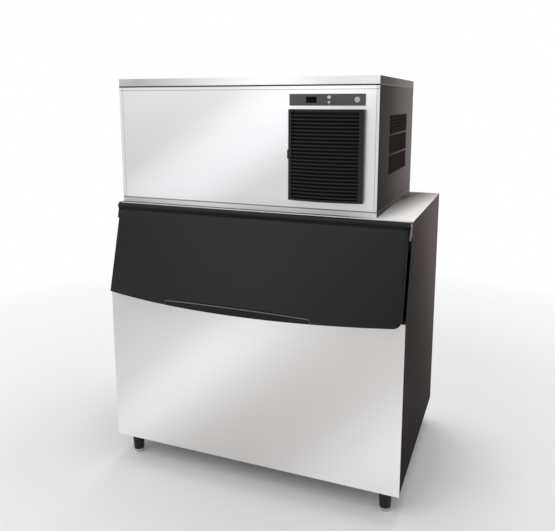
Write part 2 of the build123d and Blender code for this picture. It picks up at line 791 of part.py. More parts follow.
def head_rear_panel():
    """The rear sheet with the holes for the water and power inlets."""
    panel = block(HEAD_LEFT, HEAD_RIGHT, HEAD_REAR - SHEET, HEAD_REAR, Z_PANEL_LOW, Z_PANEL_HIGH)
    panel += block(HEAD_LEFT + 2 * SHEET, HEAD_RIGHT - 2 * SHEET, HEAD_REAR - 2 * SHEET,
                   HEAD_REAR - SHEET, Z_PANEL_HIGH - JOGGLE_H, Z_HEAD - SHEET)
    start_y = HEAD_REAR - 2 * SHEET - PAST
    length = 2 * (SHEET + PAST)
    panel -= rod(INLET_R, (inlet_x(), start_y, inlet_z()), (0, 1, 0), length)
    return panel - rod(GLAND_R, (gland_x(), start_y, inlet_z()), (0, 1, 0), length)


def head_top_cover():
    """The cover, folded down on all four sides."""
    cover = block(HEAD_LEFT, HEAD_RIGHT, HEAD_FRONT, HEAD_REAR, Z_HEAD - LID_SKIRT, Z_HEAD)
    return cover - block(HEAD_LEFT + SHEET, HEAD_RIGHT - SHEET, HEAD_FRONT + SHEET, HEAD_REAR - SHEET,
                         Z_HEAD - LID_SKIRT - PAST, Z_HEAD - SHEET)


def partition_wall():
    """The wall between the ice-making side and the cooling plant."""
    y0 = HEAD_FRONT + PANEL_RETURN + SHEET
    return block(PARTITION_X, PARTITION_X + SHEET, y0, HEAD_REAR - 2 * SHEET, Z_PAN, Z_HEAD - SHEET)


# Control panel

def control_panel():
    """The narrow plate with its windows for the display, the lamps and the disc."""
    plate = block(CONTROL_X0, CONTROL_X1, CONTROL_FACE, HEAD_FRONT, CONTROL_Z0, CONTROL_Z1)
    plate = fillet(plate.edges().filter_by(Axis.Y), CONTROL_EDGE_R)
    plate -= display_window()
    for lamp in status_lamps().solids():
        plate -= lamp
    return plate - round_disc()


def display_window():
    """The dark window of the number display."""
    x0 = CONTROL_X0 + DISPLAY_IN
    z0 = CONTROL_ZC - DISPLAY_H / 2
    return block(x0, x0 + DISPLAY_W, CONTROL_FACE - TRIM_PROUD, HEAD_FRONT, z0, z0 + DISPLAY_H)


def status_lamps():
    """The two lamps, the larger over the smaller."""
    x = CONTROL_X0 + LAMP_IN
    length = CONTROL_T + TRIM_PROUD
    upper = rod(LAMP_R, (x, HEAD_FRONT, CONTROL_ZC + LAMP_PITCH / 2), (0, -1, 0), length)
    lower = rod(LAMP_SMALL_R, (x, HEAD_FRONT, CONTROL_ZC - LAMP_PITCH / 2), (0, -1, 0), length)
    return Compound([upper, lower])


def round_disc():
    """The plain disc at the plate's right end."""
    return rod(DISC_R, (CONTROL_X1 - DISC_IN, HEAD_FRONT, CONTROL_ZC), (0, -1, 0), CONTROL_T + TRIM_PROUD)


def control_box():
    """The closed box of the controls behind the plate."""
    y0 = HEAD_FRONT + 2 * SHEET
    return block(CONTROL_X0, CONTROL_X1, y0, SHROUD_Y0, CONTROL_Z0, CONTROL_Z1)


# Louvre grille and air filter

def bowed_grille_block():
    """The grille's bulk, bowed outwards in plan."""
    side_y = HEAD_FRONT - GRILLE_SIDE
    outline = [
        Line((GRILLE_X0, HEAD_FRONT), (GRILLE_X0, side_y)),
        ThreePointArc((GRILLE_X0, side_y), (GRILLE_XC, side_y - GRILLE_BOW), (GRILLE_X1, side_y)),
        Line((GRILLE_X1, side_y), (GRILLE_X1, HEAD_FRONT)),
        Line((GRILLE_X1, HEAD_FRONT), (GRILLE_X0, HEAD_FRONT)),
    ]
    return extrude(Pos(0, 0, GRILLE_Z0) * make_face(outline), GRILLE_H)


def slat(z):
    """One curved slat, its front edge lower than its rear one."""
    near = GRILLE_ARC_R - SLAT_IN
    far = near - SLAT_DEPTH
    section = make_face(Polyline((near, z), (near, z + SLAT_T), (far, z + SLAT_T + SLAT_DROP),
                                 (far, z + SLAT_DROP), close=True))
    half_turn = math.degrees(math.asin((GRILLE_W / 2 - GRILLE_POST_L / 2) / GRILLE_ARC_R))
    upright = Plane(origin=(0, 0, 0), x_dir=(1, 0, 0), z_dir=(0, -1, 0))
    band = revolve(upright * section, Axis.Z, 2 * half_turn)
    return Pos(GRILLE_XC, GRILLE_ARC_Y, 0) * Rot(0, 0, -90 - half_turn) * band


def louvre_grille():
    """The bowed grille: posts, caps and slats in one moulding, slotted for the filter."""
    low = GRILLE_Z0 + GRILLE_CAP
    high = GRILLE_Z1 - GRILLE_CAP
    grille = bowed_grille_block() - block(GRILLE_X0 + GRILLE_POST_L, GRILLE_X1 - GRILLE_POST_R, -BIN_D,
                                          BIN_D, low, high)
    pitch = (high - low - SLAT_T - SLAT_DROP) / SLAT_COUNT
    for index in range(SLAT_COUNT):
        grille += slat(low + (index + 0.5) * pitch)
    return grille - block(GRILLE_X0 - PAST, GRILLE_X0 + GRILLE_POST_L + PAST, FILTER_Y0 - FILTER_FIT,
                          HEAD_FRONT, FILTER_Z0 - FILTER_FIT, FILTER_Z1 + FILTER_FIT)


def air_filter():
    """The flat filter: rim, ribs and mesh, with the tab that pulls it out to the left."""
    x0 = GRILLE_X0
    x1 = GRILLE_X1 - GRILLE_POST_R - FILTER_FIT
    frame = block(x0, x1, FILTER_Y0, FILTER_Y1, FILTER_Z0, FILTER_Z1)
    frame -= block(x0 + FILTER_RIM, x1 - FILTER_RIM, FILTER_Y0 - PAST, FILTER_Y1 + PAST,
                   FILTER_Z0 + FILTER_RIM, FILTER_Z1 - FILTER_RIM)
    mesh_y = (FILTER_Y0 + FILTER_Y1 - FILTER_MESH_T) / 2
    frame += block(x0, x1, mesh_y, mesh_y + FILTER_MESH_T, FILTER_Z0, FILTER_Z1)
    step_x = (x1 - x0) / (FILTER_UPRIGHT_COUNT + 1)
    for index in range(1, FILTER_UPRIGHT_COUNT + 1):
        x = x0 + index * step_x - FILTER_RIB / 2
        frame += block(x, x + FILTER_RIB, FILTER_Y0, FILTER_Y1, FILTER_Z0, FILTER_Z1)
    step_z = (FILTER_Z1 - FILTER_Z0) / (FILTER_BAR_COUNT + 1)
    for index in range(1, FILTER_BAR_COUNT + 1):
        z = FILTER_Z0 + index * step_z - FILTER_RIB / 2
        frame += block(x0, x1, FILTER_Y0, FILTER_Y1, z, z + FILTER_RIB)
    tab_z = GRILLE_Z0 + TAB_UP
    tab = block(x0 - TAB_OUT, x0, FILTER_Y0, FILTER_Y1, tab_z, tab_z + TAB_H)
    return frame + fillet(tab.edges().filter_by(Axis.Y).sort_by(Axis.X)[:2], TAB_OUT / 2)


# Cooling plant

def condenser_coil():
    """The condenser: a finned core between two end plates."""
    x0 = GRILLE_XC - COIL_W / 2
    x1 = GRILLE_XC + COIL_W / 2
    z1 = COIL_Z0 + COIL_H
    core_y = COIL_Y0 + SHEET
    coil = block(x0, x1, core_y, SHROUD_Y0 - SHEET, COIL_Z0, z1)
    for x in (x0, x1 - 2 * SHEET):
        coil += block(x, x + 2 * SHEET, COIL_Y0, SHROUD_Y0, COIL_Z0 - COIL_LIFT, z1)
    step = COIL_W / COIL_FIN_COUNT
    for index in range(1, COIL_FIN_COUNT):
        x = x0 + index * step
        coil += block(x, x + SHEET, COIL_Y0, core_y, COIL_Z0, z1)
    return coil


def fan_shroud():
    """The plate behind the coil with its round hole for the fan."""
    half = COIL_W / 2
    plate = block(GRILLE_XC - half, GRILLE_XC + half, SHROUD_Y0, SHROUD_Y0 + SHROUD_T,
                  COIL_Z0 - COIL_LIFT, COIL_Z0 + COIL_H)
    return plate - rod(FAN_R + FAN_FIT, (GRILLE_XC, SHROUD_Y0 - PAST, FAN_Z), (0, 1, 0), SHROUD_T + 2 * PAST)


def fan_blades():
    """The fan: a hub on the motor's shaft and pitched blades."""
    centre = (GRILLE_XC, FAN_Y0, FAN_Z)
    fan = rod(FAN_HUB_R, centre, (0, 1, 0), FAN_T)
    middle = (GRILLE_XC, FAN_Y0 + FAN_T / 2, FAN_Z)
    reach = FAN_R - FAN_HUB_R / 2
    width = FAN_T / math.sin(math.radians(FAN_PITCH_DEGREES)) * FAN_FILL_SHARE
    for index in range(FAN_BLADE_COUNT):
        blade = Box(width, FAN_BLADE_T, reach)
        blade = Rot(0, 0, FAN_PITCH_DEGREES) * blade
        blade = Pos(0, 0, FAN_HUB_R / 2 + reach / 2) * blade
        fan += Pos(*middle) * Rot(0, index * 360 / FAN_BLADE_COUNT, 0) * blade
    fan &= rod(FAN_R, centre, (0, 1, 0), FAN_T)
    return fan - rod(SHAFT_R + SHAFT_FIT, centre, (0, 1, 0), FAN_T)


def fan_motor():
    """The fan's motor with its shaft."""
    motor = rod(MOTOR_R, (GRILLE_XC, MOTOR_Y0, FAN_Z), (0, 1, 0), MOTOR_L)
    motor = fillet(motor.edges().filter_by(GeomType.CIRCLE), MOTOR_EDGE_R)
    return motor + rod(SHAFT_R, (GRILLE_XC, FAN_Y0, FAN_Z), (0, 1, 0), MOTOR_Y0 - FAN_Y0 + SHAFT_R)


def fan_motor_bracket():
    """The bar behind the motor and its two legs to the shroud."""
    rear = MOTOR_Y0 + MOTOR_L
    half = COIL_W / 2
    low = FAN_Z - BRACKET_BAR / 2
    high = FAN_Z + BRACKET_BAR / 2
    bar = block(GRILLE_XC - half, GRILLE_XC + half, rear, rear + BRACKET_T, low, high)
    for x in (GRILLE_XC - half, GRILLE_XC + half - BRACKET_T):
        bar += block(x, x + BRACKET_T, SHROUD_Y0 + SHROUD_T, rear, low, high)
    return bar


def compressor_place():
    """The middle of the compressor's base."""
    x = PARTITION_X + SHEET + COMPRESSOR_SIDE_GAP + COMPRESSOR_R
    y = HEAD_REAR - COMPRESSOR_REAR_GAP - COMPRESSOR_R
    return x, y


def grommet_places():
    """The four corners of the compressor's base."""
    x, y = compressor_place()
    reach = GROMMET_REACH / math.sqrt(2)
    return [(x + i * reach, y + j * reach) for i in (-1, 1) for j in (-1, 1)]


def compressor():
    """The domed compressor on its base plate."""
    x, y = compressor_place()
    low = Z_PAN + GROMMET_H
    reach = GROMMET_REACH / math.sqrt(2) + GROMMET_R
    plate = block(x - reach, x + reach, y - reach, y + reach, low, low + 2 * SHEET)
    dome = rod(COMPRESSOR_R, (x, y, low + 2 * SHEET), (0, 0, 1), COMPRESSOR_H)
    dome = fillet(dome.edges().sort_by(Axis.Z)[-1], COMPRESSOR_R * DOME_SHARE)
    return plate + dome


def compressor_grommets():
    """The four rubber feet under the compressor's plate."""
    feet = [rod(GROMMET_R, (x, y, Z_PAN), (0, 0, 1), GROMMET_H) for x, y in grommet_places()]
    return Compound(feet)


def tank(radius, height, x, y, low):
    """An upright round tank with domed ends."""
    body = rod(radius, (x, y, low), (0, 0, 1), height)
    return fillet(body.edges().filter_by(GeomType.CIRCLE), radius * DOME_SHARE)


def receiver_x():
    """Distance across to the receiver and the drier."""
    return HEAD_RIGHT - RECEIVER_SIDE_GAP - RECEIVER_R


def liquid_receiver():
    """The liquid receiver beside the compressor."""
    y = MOTOR_Y0 + MOTOR_L + RECEIVER_FRONT_GAP + RECEIVER_R
    return tank(RECEIVER_R, RECEIVER_H, receiver_x(), y, Z_PAN)


def filter_drier():
    """The filter drier behind the receiver."""
    return tank(DRIER_R, DRIER_H, receiver_x(), HEAD_REAR - DRIER_REAR_IN, Z_PAN)


def bent_line(points):
    """A refrigerant line along straight runs with bends."""
    path = FilletPolyline(*points, radius=LINE_BEND)
    start = Plane(origin=path @ 0, z_dir=path % 0)
    return sweep(start * Circle(LINE_R), path=path)


def discharge_line():
    """The line from the compressor's head to the condenser."""
    x, y = compressor_place()
    top = Z_PAN + GROMMET_H + 2 * SHEET + COMPRESSOR_H
    high = top + 2 * LINE_BEND
    far = SHROUD_Y0 - COIL_D / 2
    side = GRILLE_XC - COIL_W / 2 - LINE_R
    return bent_line([(x, y, top), (x, y, high), (side, y, high), (side, far, high), (side, far, FAN_Z)])


def suction_line():
    """The line from the evaporator to the port in the compressor's front."""
    x, y = compressor_place()
    level = EVAP_Z1 - 2 * LINE_BEND
    port = Z_PAN + GROMMET_H + COMPRESSOR_H / 2
    side_y = y - COMPRESSOR_R - 2 * LINE_BEND
    return bent_line([(PARTITION_X + SHEET, side_y, level), (x, side_y, level), (x, side_y, port),
                      (x, y - COMPRESSOR_R, port)])


# Ice-making side

def evaporator(y0):
    """One upright plate with its grid of ice cells on the front."""
    x0 = EVAP_XC - EVAP_W / 2
    y1 = y0 + EVAP_T
    plate = block(x0, x0 + EVAP_W, y1 - EVAP_PLATE_T, y1, EVAP_Z0, EVAP_Z1)
    step_x = (EVAP_W - EVAP_WALL) / EVAP_COLUMN_COUNT
    for index in range(EVAP_COLUMN_COUNT + 1):
        x = x0 + index * step_x
        plate += block(x, x + EVAP_WALL, y0, y1, EVAP_Z0, EVAP_Z1)
    step_z = (EVAP_H - EVAP_WALL) / EVAP_ROW_COUNT
    for index in range(EVAP_ROW_COUNT + 1):
        z = EVAP_Z0 + index * step_z
        plate += block(x0, x0 + EVAP_W, y0, y1, z, z + EVAP_WALL)
    return plate


def evaporator_frame():
    """The two uprights that carry the evaporator, the spreader and the curtain."""
    depth = EVAP_T + 2 * CURTAIN_GAP
    y0 = EVAP_Y0 - depth + EVAP_T
    frame = []
    for side in (-1, 1):
        x0, x1 = sorted((EVAP_XC + side * EVAP_W / 2, EVAP_XC + side * (EVAP_W / 2 + EVAP_CARRY)))
        post = block(x0, x1, y0, EVAP_Y0 + EVAP_T, EVAP_Z0, Z_HEAD - SHEET)
        hole = rod(CURTAIN_PIN_R + CURTAIN_PIN_FIT, (x0 - PAST, curtain_y(), curtain_z()), (1, 0, 0),
                   EVAP_CARRY + 2 * PAST)
        frame.append(post - hole)
    return Compound(frame)


def curtain_y():
    """Depth of the curtain's hinge line."""
    return EVAP_Y0 - CURTAIN_GAP


def curtain_z():
    """Height of the curtain's hinge line."""
    return EVAP_Z1 + 2 * CURTAIN_PIN_R


def water_curtain():
    """The flap that hangs in front of the ice cells, on a pin at its top."""
    half = EVAP_W / 2 - CURTAIN_SIDE_GAP
    y = curtain_y()
    flap = block(EVAP_XC - half, EVAP_XC + half, y - CURTAIN_T / 2, y + CURTAIN_T / 2,
                 EVAP_Z0 - CURTAIN_GAP, curtain_z())
    pin_half = EVAP_W / 2 + EVAP_CARRY - CURTAIN_SIDE_GAP
    return flap + rod(CURTAIN_PIN_R, (EVAP_XC - pin_half, y, curtain_z()), (1, 0, 0), 2 * pin_half)


def water_spreader():
    """The tube that runs water down the evaporator."""
    start = (EVAP_XC - EVAP_W / 2, EVAP_Y0 + EVAP_T / 2, EVAP_Z1 + SPREADER_R)
    tube = rod(SPREADER_R, start, (1, 0, 0), EVAP_W)
    return tube - rod(SPREADER_R - SPREADER_WALL, start, (1, 0, 0), EVAP_W)


def water_sump():
    """The open water tray behind the ice drop."""
    tray = block(SUMP_X0, SUMP_X1, SUMP_Y0, SUMP_Y1, Z_PAN, Z_PAN + SUMP_H)
    hollow = block(SUMP_X0 + SUMP_WALL, SUMP_X1 - SUMP_WALL, SUMP_Y0 + SUMP_WALL, SUMP_Y1 - SUMP_WALL,
                   Z_PAN + SUMP_WALL, Z_PAN + SUMP_H + PAST)
    return tray - hollow


def ice_guide():
    """The slotted slide that lets water through and sends the ice forward."""
    low = Z_PAN + SUMP_H
    rise = EVAP_CLEAR / 2
    slide = side_prism([(SUMP_Y0, low), (SUMP_Y0 + GUIDE_LIP, low), (SUMP_Y1, low + rise),
                        (SUMP_Y1, low + rise + GUIDE_T), (SUMP_Y0, low + GUIDE_T)], SUMP_X0, SUMP_X1)
    for x in (SUMP_X0, SUMP_X1 - GUIDE_T):
        slide += side_prism([(SUMP_Y0 + GUIDE_LIP, low), (SUMP_Y1, low), (SUMP_Y1, low + rise)],
                            x, x + GUIDE_T)
    step = SUMP_W / GUIDE_SLOT_COUNT
    half = step * GUIDE_SLOT_SHARE / 2
    for index in range(GUIDE_SLOT_COUNT):
        x = SUMP_X0 + (index + 0.5) * step
        slide -= block(x - half, x + half, SUMP_Y0 + GUIDE_SLOT_FRONT, SUMP_Y1 - GUIDE_SLOT_REAR,
                       low - PAST, low + 2 * rise)
    return slide


def water_pump():
    """The pump beside the sump."""
    x = SUMP_X1 + PUMP_R + SUMP_WALL
    y = SUMP_Y1 - PUMP_R
    arm = block(SUMP_X1, x, y - PUMP_ARM, y + PUMP_ARM, Z_PAN + PUMP_R, Z_PAN + SUMP_H - SUMP_WALL)
    return tank(PUMP_R, PUMP_H, x, y, Z_PAN) + arm


def float_place():
    """The middle of the float's stem."""
    return SUMP_X0 + FLOAT_IN_X, SUMP_Y1 - FLOAT_IN_Y


def float_stem():
    """The level switch's stem, standing in the sump, with its stop."""
    x, y = float_place()
    low = Z_PAN + SUMP_WALL
    stem = rod(FLOAT_STEM_R, (x, y, low), (0, 0, 1), FLOAT_H + FLOAT_TRAVEL + FLOAT_STEM_OVER)
    return stem + rod(FLOAT_STOP_R, (x, y, low), (0, 0, 1), FLOAT_STOP_T)


def float_ring():
    """The float that rides on the stem."""
    x, y = float_place()
    low = Z_PAN + SUMP_WALL + FLOAT_STOP_T + FLOAT_FIT
    ring = rod(FLOAT_R, (x, y, low), (0, 0, 1), FLOAT_H)
    return ring - rod(FLOAT_STEM_R + FLOAT_FIT, (x, y, low), (0, 0, 1), FLOAT_H)


def inlet_x():
    """Distance across to the water inlet."""
    return HEAD_LEFT + DROP_LEFT + VALVE_SIZE


def inlet_z():
    """Height of the water and power inlets."""
    return Z_PAN + SUMP_H + VALVE_SIZE


def gland_x():
    """Distance across to the power inlet."""
    return HEAD_RIGHT - VALVE_SIZE


def water_inlet_valve():
    """The water inlet valve with its threaded stub through the rear sheet."""
    x = inlet_x()
    z = inlet_z()
    rear = HEAD_REAR - 2 * SHEET
    half = VALVE_SIZE / 2
    valve = block(x - half, x + half, rear - VALVE_SIZE, rear, z - half, z + half)
    valve += rod(VALVE_COIL_R, (x, rear - half, z + half), (0, 0, 1), VALVE_SIZE)
    length = REAR_PROUD + 2 * SHEET
    valve += rod(INLET_R, (x, rear, z), (0, 1, 0), length)
    return valve - rod(INLET_BORE_R, (x, rear, z), (0, 1, 0), length)


def power_gland():
    """The gland where the supply enters."""
    length = REAR_PROUD + GLAND_IN
    start = (gland_x(), HEAD_REAR - GLAND_IN, inlet_z())
    return rod(GLAND_R, start, (0, 1, 0), length) - rod(GLAND_BORE_R, start, (0, 1, 0), length)


def rear_screws():
    """The screws of the two rear sheets."""
    heads = []
    bin_xs = (-BIN_X + SCREW_IN_X, 0, BIN_X - SCREW_IN_X)
    head_xs = (HEAD_LEFT + SCREW_IN, (HEAD_LEFT + HEAD_RIGHT) / 2, HEAD_RIGHT - SCREW_IN)
    for xs, low, high in ((bin_xs, Z_KINK, Z_TOP - HEADER_DROP), (head_xs, Z_PANEL_LOW, Z_PANEL_HIGH)):
        for x in xs:
            for z in (low + SCREW_IN, high - SCREW_IN):
                head = rod(SCREW_R, (x, BIN_D, z), (0, 1, 0), SCREW_H)
                heads.append(chamfer(head.edges().sort_by(Axis.Y)[-1], SCREW_EDGE))
    return Compound(heads)


# Every node, by name

def all_nodes():
    """Each piece under its own name."""
    nodes = {
        "bin_front_panel": bin_front_panel(),
        "bin_left_panel": bin_side_panel(-1),
        "bin_right_panel": bin_side_panel(1),
        "bin_back_panel": bin_back_panel(),
        "bin_top_panel": bin_top_panel(),
        "bin_base": bin_base(),
        "bin_liner": bin_liner(),
        "bin_insulation": bin_insulation(),
        "opening_frame": opening_frame(),
        "drain_outlet": drain_outlet(),
        "door_outer_shell": door_outer_shell(),
        "door_inner_panel": door_inner_panel(),
        "door_core": door_core(),
        "door_gasket": door_gasket(),
        "door_hinge_rail": door_hinge_rail(),
        "door_hinge_pins": door_hinge_pins(),
        "door_hinge_brackets": door_hinge_brackets(),
        "head_base_frame": head_base_frame(),
        "head_front_panel": head_front_panel(),
        "head_left_panel": head_side_panel(-1),
        "head_right_panel": head_right_panel(),
        "head_rear_panel": head_rear_panel(),
        "head_top_cover": head_top_cover(),
        "partition_wall": partition_wall(),
        "control_panel": control_panel(),
        "display_window": display_window(),
        "status_lamps": status_lamps(),
        "round_disc": round_disc(),
        "control_box": control_box(),
        "louvre_grille": louvre_grille(),
        "air_filter": air_filter(),
        "condenser_coil": condenser_coil(),
        "fan_shroud": fan_shroud(),
        "fan_blades": fan_blades(),
        "fan_motor": fan_motor(),
        "fan_motor_bracket": fan_motor_bracket(),
        "compressor": compressor(),
        "compressor_grommets": compressor_grommets(),
        "liquid_receiver": liquid_receiver(),
        "filter_drier": filter_drier(),
        "discharge_line": discharge_line(),
        "suction_line": suction_line(),
        "evaporator": evaporator(EVAP_Y0),
        "evaporator_frame": evaporator_frame(),
        "water_curtain": water_curtain(),
        "water_spreader": water_spreader(),
        "water_sump": water_sump(),
        "ice_guide": ice_guide(),
        "water_pump": water_pump(),
        "float_stem": float_stem(),
        "float_ring": float_ring(),
        "water_inlet_valve": water_inlet_valve(),
        "power_gland": power_gland(),
        "rear_screws": rear_screws(),
        "legs": Compound([leg(x, y) for name, x, y in leg_places()]),
    }
    for name, x, y in leg_places():
        nodes[f"foot_{name}"] = levelling_foot(x, y)
    return nodes


def middle_depth(nodes):
    """Depth of the footprint's middle, from the door's bow to the fittings at the rear."""
    front = nodes["door_outer_shell"].bounding_box().min.Y
    return (front + BIN_D + REAR_PROUD) / 2


def main():
    """Write each piece to its own file."""
    os.makedirs("parts", exist_ok=True)
    nodes = all_nodes()
    shift = -middle_depth(nodes)
    print("shift", round(shift, 3), "door hinge", round(BARREL_Y + shift, 3), Z_BARREL)
    for name, solid in nodes.items():
        export_step(Pos(0, shift, 0) * solid, f"parts/{name}.step")


main()
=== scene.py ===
import bpy
import bmesh
import math
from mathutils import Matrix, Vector


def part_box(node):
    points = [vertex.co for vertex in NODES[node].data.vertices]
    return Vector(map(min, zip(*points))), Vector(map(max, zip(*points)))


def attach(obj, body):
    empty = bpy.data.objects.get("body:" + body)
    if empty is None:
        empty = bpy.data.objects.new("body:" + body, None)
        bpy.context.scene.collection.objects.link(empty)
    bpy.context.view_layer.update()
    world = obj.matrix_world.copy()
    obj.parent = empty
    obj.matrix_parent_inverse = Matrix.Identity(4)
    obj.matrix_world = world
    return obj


# Looks for the ice cube machine: an ice-making head on a storage bin. Metres, in the frame's axes:
# x to the right, y to the rear and z up.

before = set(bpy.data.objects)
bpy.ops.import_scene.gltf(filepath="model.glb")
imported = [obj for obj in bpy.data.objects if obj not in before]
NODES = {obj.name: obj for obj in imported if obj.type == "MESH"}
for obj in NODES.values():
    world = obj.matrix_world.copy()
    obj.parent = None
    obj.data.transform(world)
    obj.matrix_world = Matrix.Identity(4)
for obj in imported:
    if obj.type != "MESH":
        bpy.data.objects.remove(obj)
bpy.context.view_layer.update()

# Camera, from the photograph of 555 by 531 pixels
PICTURE_W = 555.0
SENSOR_W = 36.0
FOCAL_PX = 613.3
CAMERA_PLACE = (0.9379, -2.3976, 1.5222)
CAMERA_TURN = 21.47
CAMERA_DOWN = 9.72
CAMERA_SHIFT_Y = -0.105
CAMERA_REACH = 50.0

# Lamps: name, place, size and power. They all aim at one point
LAMP_TARGET = (0.0, 0.0, 0.6)
LAMPS = (
    ("main_lamp", (-1.3, -3.6, 4.2), 3.2, 96.0),
    ("rear_lamp", (0.0, 1.6, 4.2), 2.6, 80.0),
)

# Colours as linear values
# Painted reflection: lighter and darker bands across the bin's front sheet, in place of the room mirrored
# in it
FRONT_REFLECTION_GREY = (0.650, 0.636, 0.642)
FRONT_REFLECTION_PALE = (0.765, 0.753, 0.768)
FRONT_REFLECTION_GLOW = (0.930, 0.915, 0.935)
FRONT_REFLECTION_SOFT = (0.750, 0.731, 0.727)
FRONT_REFLECTION_WARM = (0.680, 0.655, 0.630)
# Painted reflection: lighter and darker bands across the head's front sheet
HEAD_REFLECTION_GREY = (0.740, 0.726, 0.732)
HEAD_REFLECTION_SOFT = (0.790, 0.779, 0.792)
HEAD_REFLECTION_PALE = (0.900, 0.890, 0.912)
HEAD_REFLECTION_GLOW = (0.960, 0.950, 0.975)
HEAD_REFLECTION_WARM = (0.770, 0.760, 0.748)
# Painted reflection: the cover's front going from grey at the left to bright further right
LID_REFLECTION_GREY = (0.480, 0.465, 0.458)
LID_REFLECTION_GLOW = (0.900, 0.885, 0.880)
LID_REFLECTION_WARM = (0.740, 0.735, 0.715)
# The head's sides: dark taupe sheet with a painted reflection, dark at the front and lighter to the rear
HEAD_SIDE_TAUPE_REFLECTION_FRONT = (0.028, 0.020, 0.017)
HEAD_SIDE_TAUPE_REFLECTION_MIDDLE = (0.110, 0.086, 0.080)
HEAD_SIDE_TAUPE_REFLECTION_REAR = (0.265, 0.222, 0.212)
# The bin's sides: dark taupe sheet with a painted reflection, darkest at the front and bottom, lighter to
# the rear and top
BIN_SIDE_TAUPE_REFLECTION_DEEP = (0.013, 0.0065, 0.0045)
BIN_SIDE_TAUPE_REFLECTION_FRONT = (0.026, 0.016, 0.012)
BIN_SIDE_TAUPE_REFLECTION_MIDDLE = (0.100, 0.074, 0.067)
BIN_SIDE_TAUPE_REFLECTION_REAR = (0.185, 0.148, 0.141)
# The bin's top: painted shade and reflection, dark beside the head and pale further right
TOP_SHADE_REFLECTION_DARK = (0.110, 0.090, 0.085)
TOP_REFLECTION_PALE = (0.600, 0.570, 0.560)
TOP_REFLECTION_GLOW = (0.880, 0.860, 0.840)
STRIP_PALE = (0.70, 0.69, 0.68)
# Painted shade beside the door on the front edges of the bin's sides
STRIP_PAINTED_SHADE = (0.030, 0.029, 0.028)
RAIL_PALE = (0.74, 0.725, 0.715)
# Painted shade in the gap under the cover's front edge
SEAM_SHADE_DARK = (0.050, 0.040, 0.038)
# Painted shade lines in the fine folds of the head's front
SEAM_SHADE_SOFT = (0.300, 0.270, 0.262)
# Painted shade inside the vent slots
VENT_SHADE_DARK = (0.014, 0.008, 0.007)
STEEL_PLAIN = (0.55, 0.55, 0.55)
BRACKET_GREY = (0.16, 0.155, 0.15)
ZINC = (0.42, 0.43, 0.44)
DOOR_BLACK = (0.0065, 0.0065, 0.0074)
FRAME_BLACK = (0.010, 0.010, 0.011)
LEG_BLACK = (0.005, 0.0125, 0.0115)
GRILLE_BLACK = (0.0060, 0.0078, 0.0076)
CONTROL_GREY = (0.046, 0.0455, 0.049)
DISPLAY_BLACK = (0.0012, 0.0012, 0.002)
# Painted highlight along the door's ledge
LEDGE_HIGHLIGHT_GREY = (0.125, 0.131, 0.121)
LAMP_PALE = (0.50, 0.52, 0.53)
DISC_PALE = (0.40, 0.40, 0.42)
RUBBER_BLACK = (0.012, 0.012, 0.012)
LINER_WHITE = (0.70, 0.71, 0.72)
FOAM_CREAM = (0.62, 0.54, 0.34)
COPPER = (0.55, 0.22, 0.12)
FIN_METAL = (0.32, 0.32, 0.32)
PAINT_BLACK = (0.012, 0.012, 0.013)
FLOOR_PALE = (0.77, 0.768, 0.766)
WORLD_WHITE = (1.0, 1.0, 1.0, 1.0)
WORLD_GREY = (0.70, 0.70, 0.71, 1.0)

# Directions
FORWARDS = (0.0, -1.0, 0.0)
BACKWARDS = (0.0, 1.0, 0.0)
RIGHTWARDS = (1.0, 0.0, 0.0)
LEFTWARDS = (-1.0, 0.0, 0.0)
UPWARDS = (0.0, 0.0, 1.0)
UP = Vector(UPWARDS)

# Places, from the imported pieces
BACK_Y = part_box("bin_back_panel")[1][1]
BIN_TOP_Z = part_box("bin_top_panel")[1][2]
DOOR_LOW, DOOR_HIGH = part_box("door_outer_shell")
DOOR_LOW_Z = DOOR_LOW[2]
HEAD_LOW, HEAD_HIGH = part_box("head_top_cover")
HEAD_FRONT_Y = HEAD_LOW[1]
HEAD_RIGHT_X = HEAD_HIGH[0]
HEAD_LEFT_X = HEAD_LOW[0]
LID_LOW_Z = HEAD_LOW[2]
HEAD_BASE_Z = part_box("head_base_frame")[1][2]

# Seams round the head's front, thin bars of painted shade: how far they stand out, their rounding and
# their heights, and how far the upper fold lies under the cover
SEAM_PROUD = 0.0004
SEAM_EDGE = 0.5 * SEAM_PROUD
LID_SEAM_H = 0.0055
PANEL_SEAM_H = 0.0018
PANEL_SEAM_DROP = 0.0175
BASE_SEAM_H = 0.005

# The door's bow at its lower edge, and the ledge there: its arched top and the painted highlight line
# along it
DOOR_BOW = 0.092
DOOR_HALF = DOOR_HIGH[0]
DOOR_BOW_R = (DOOR_HALF ** 2 + DOOR_BOW ** 2) / (2 * DOOR_BOW)
LEDGE_HALF = 0.295
LEDGE_H = 0.030
LEDGE_RISE = 0.012
LEDGE_ARCH_R = (LEDGE_HALF ** 2 + LEDGE_RISE ** 2) / (2 * LEDGE_RISE)
LEDGE_CORNER = 0.009
LINE_R = 0.0022
LINE_IN = LINE_R
LINE_STEPS = 48
LINE_SIDES = 8

# Vents in the head's right side
VENT_W = 0.349
VENT_FRONT = 0.197
VENT_DROP = 0.143
VENT_BANK_COUNT = 3
VENT_BANK_H = 0.070
VENT_BAR = 0.008
VENT_SLOT_COUNT = 6
VENT_SLOT_H = 0.0065
HOOD_OUT = 0.0032
HOOD_OVER = 0.0015
HOOD_T = 0.0008
# A hood's section from its top: a share of how far it stands out, how far the point lies inwards
# from there, and a share of its height
HOOD_SECTION = (
    (0.0, HOOD_T, 0.0),
    (0.0, 0.0, 0.0),
    (0.6, 0.0, 0.3),
    (1.0, 0.0, 0.8),
    (1.0, 0.0, 1.0),
    (1.0, HOOD_T, 1.0),
    (0.6, HOOD_T, 0.45),
)

# Screws: radius, height, and how far they lie in from an edge
SCREW_R = 0.0042
SCREW_H = 0.0022
SCREW_IN = 0.022
SCREW_SIDES = 24
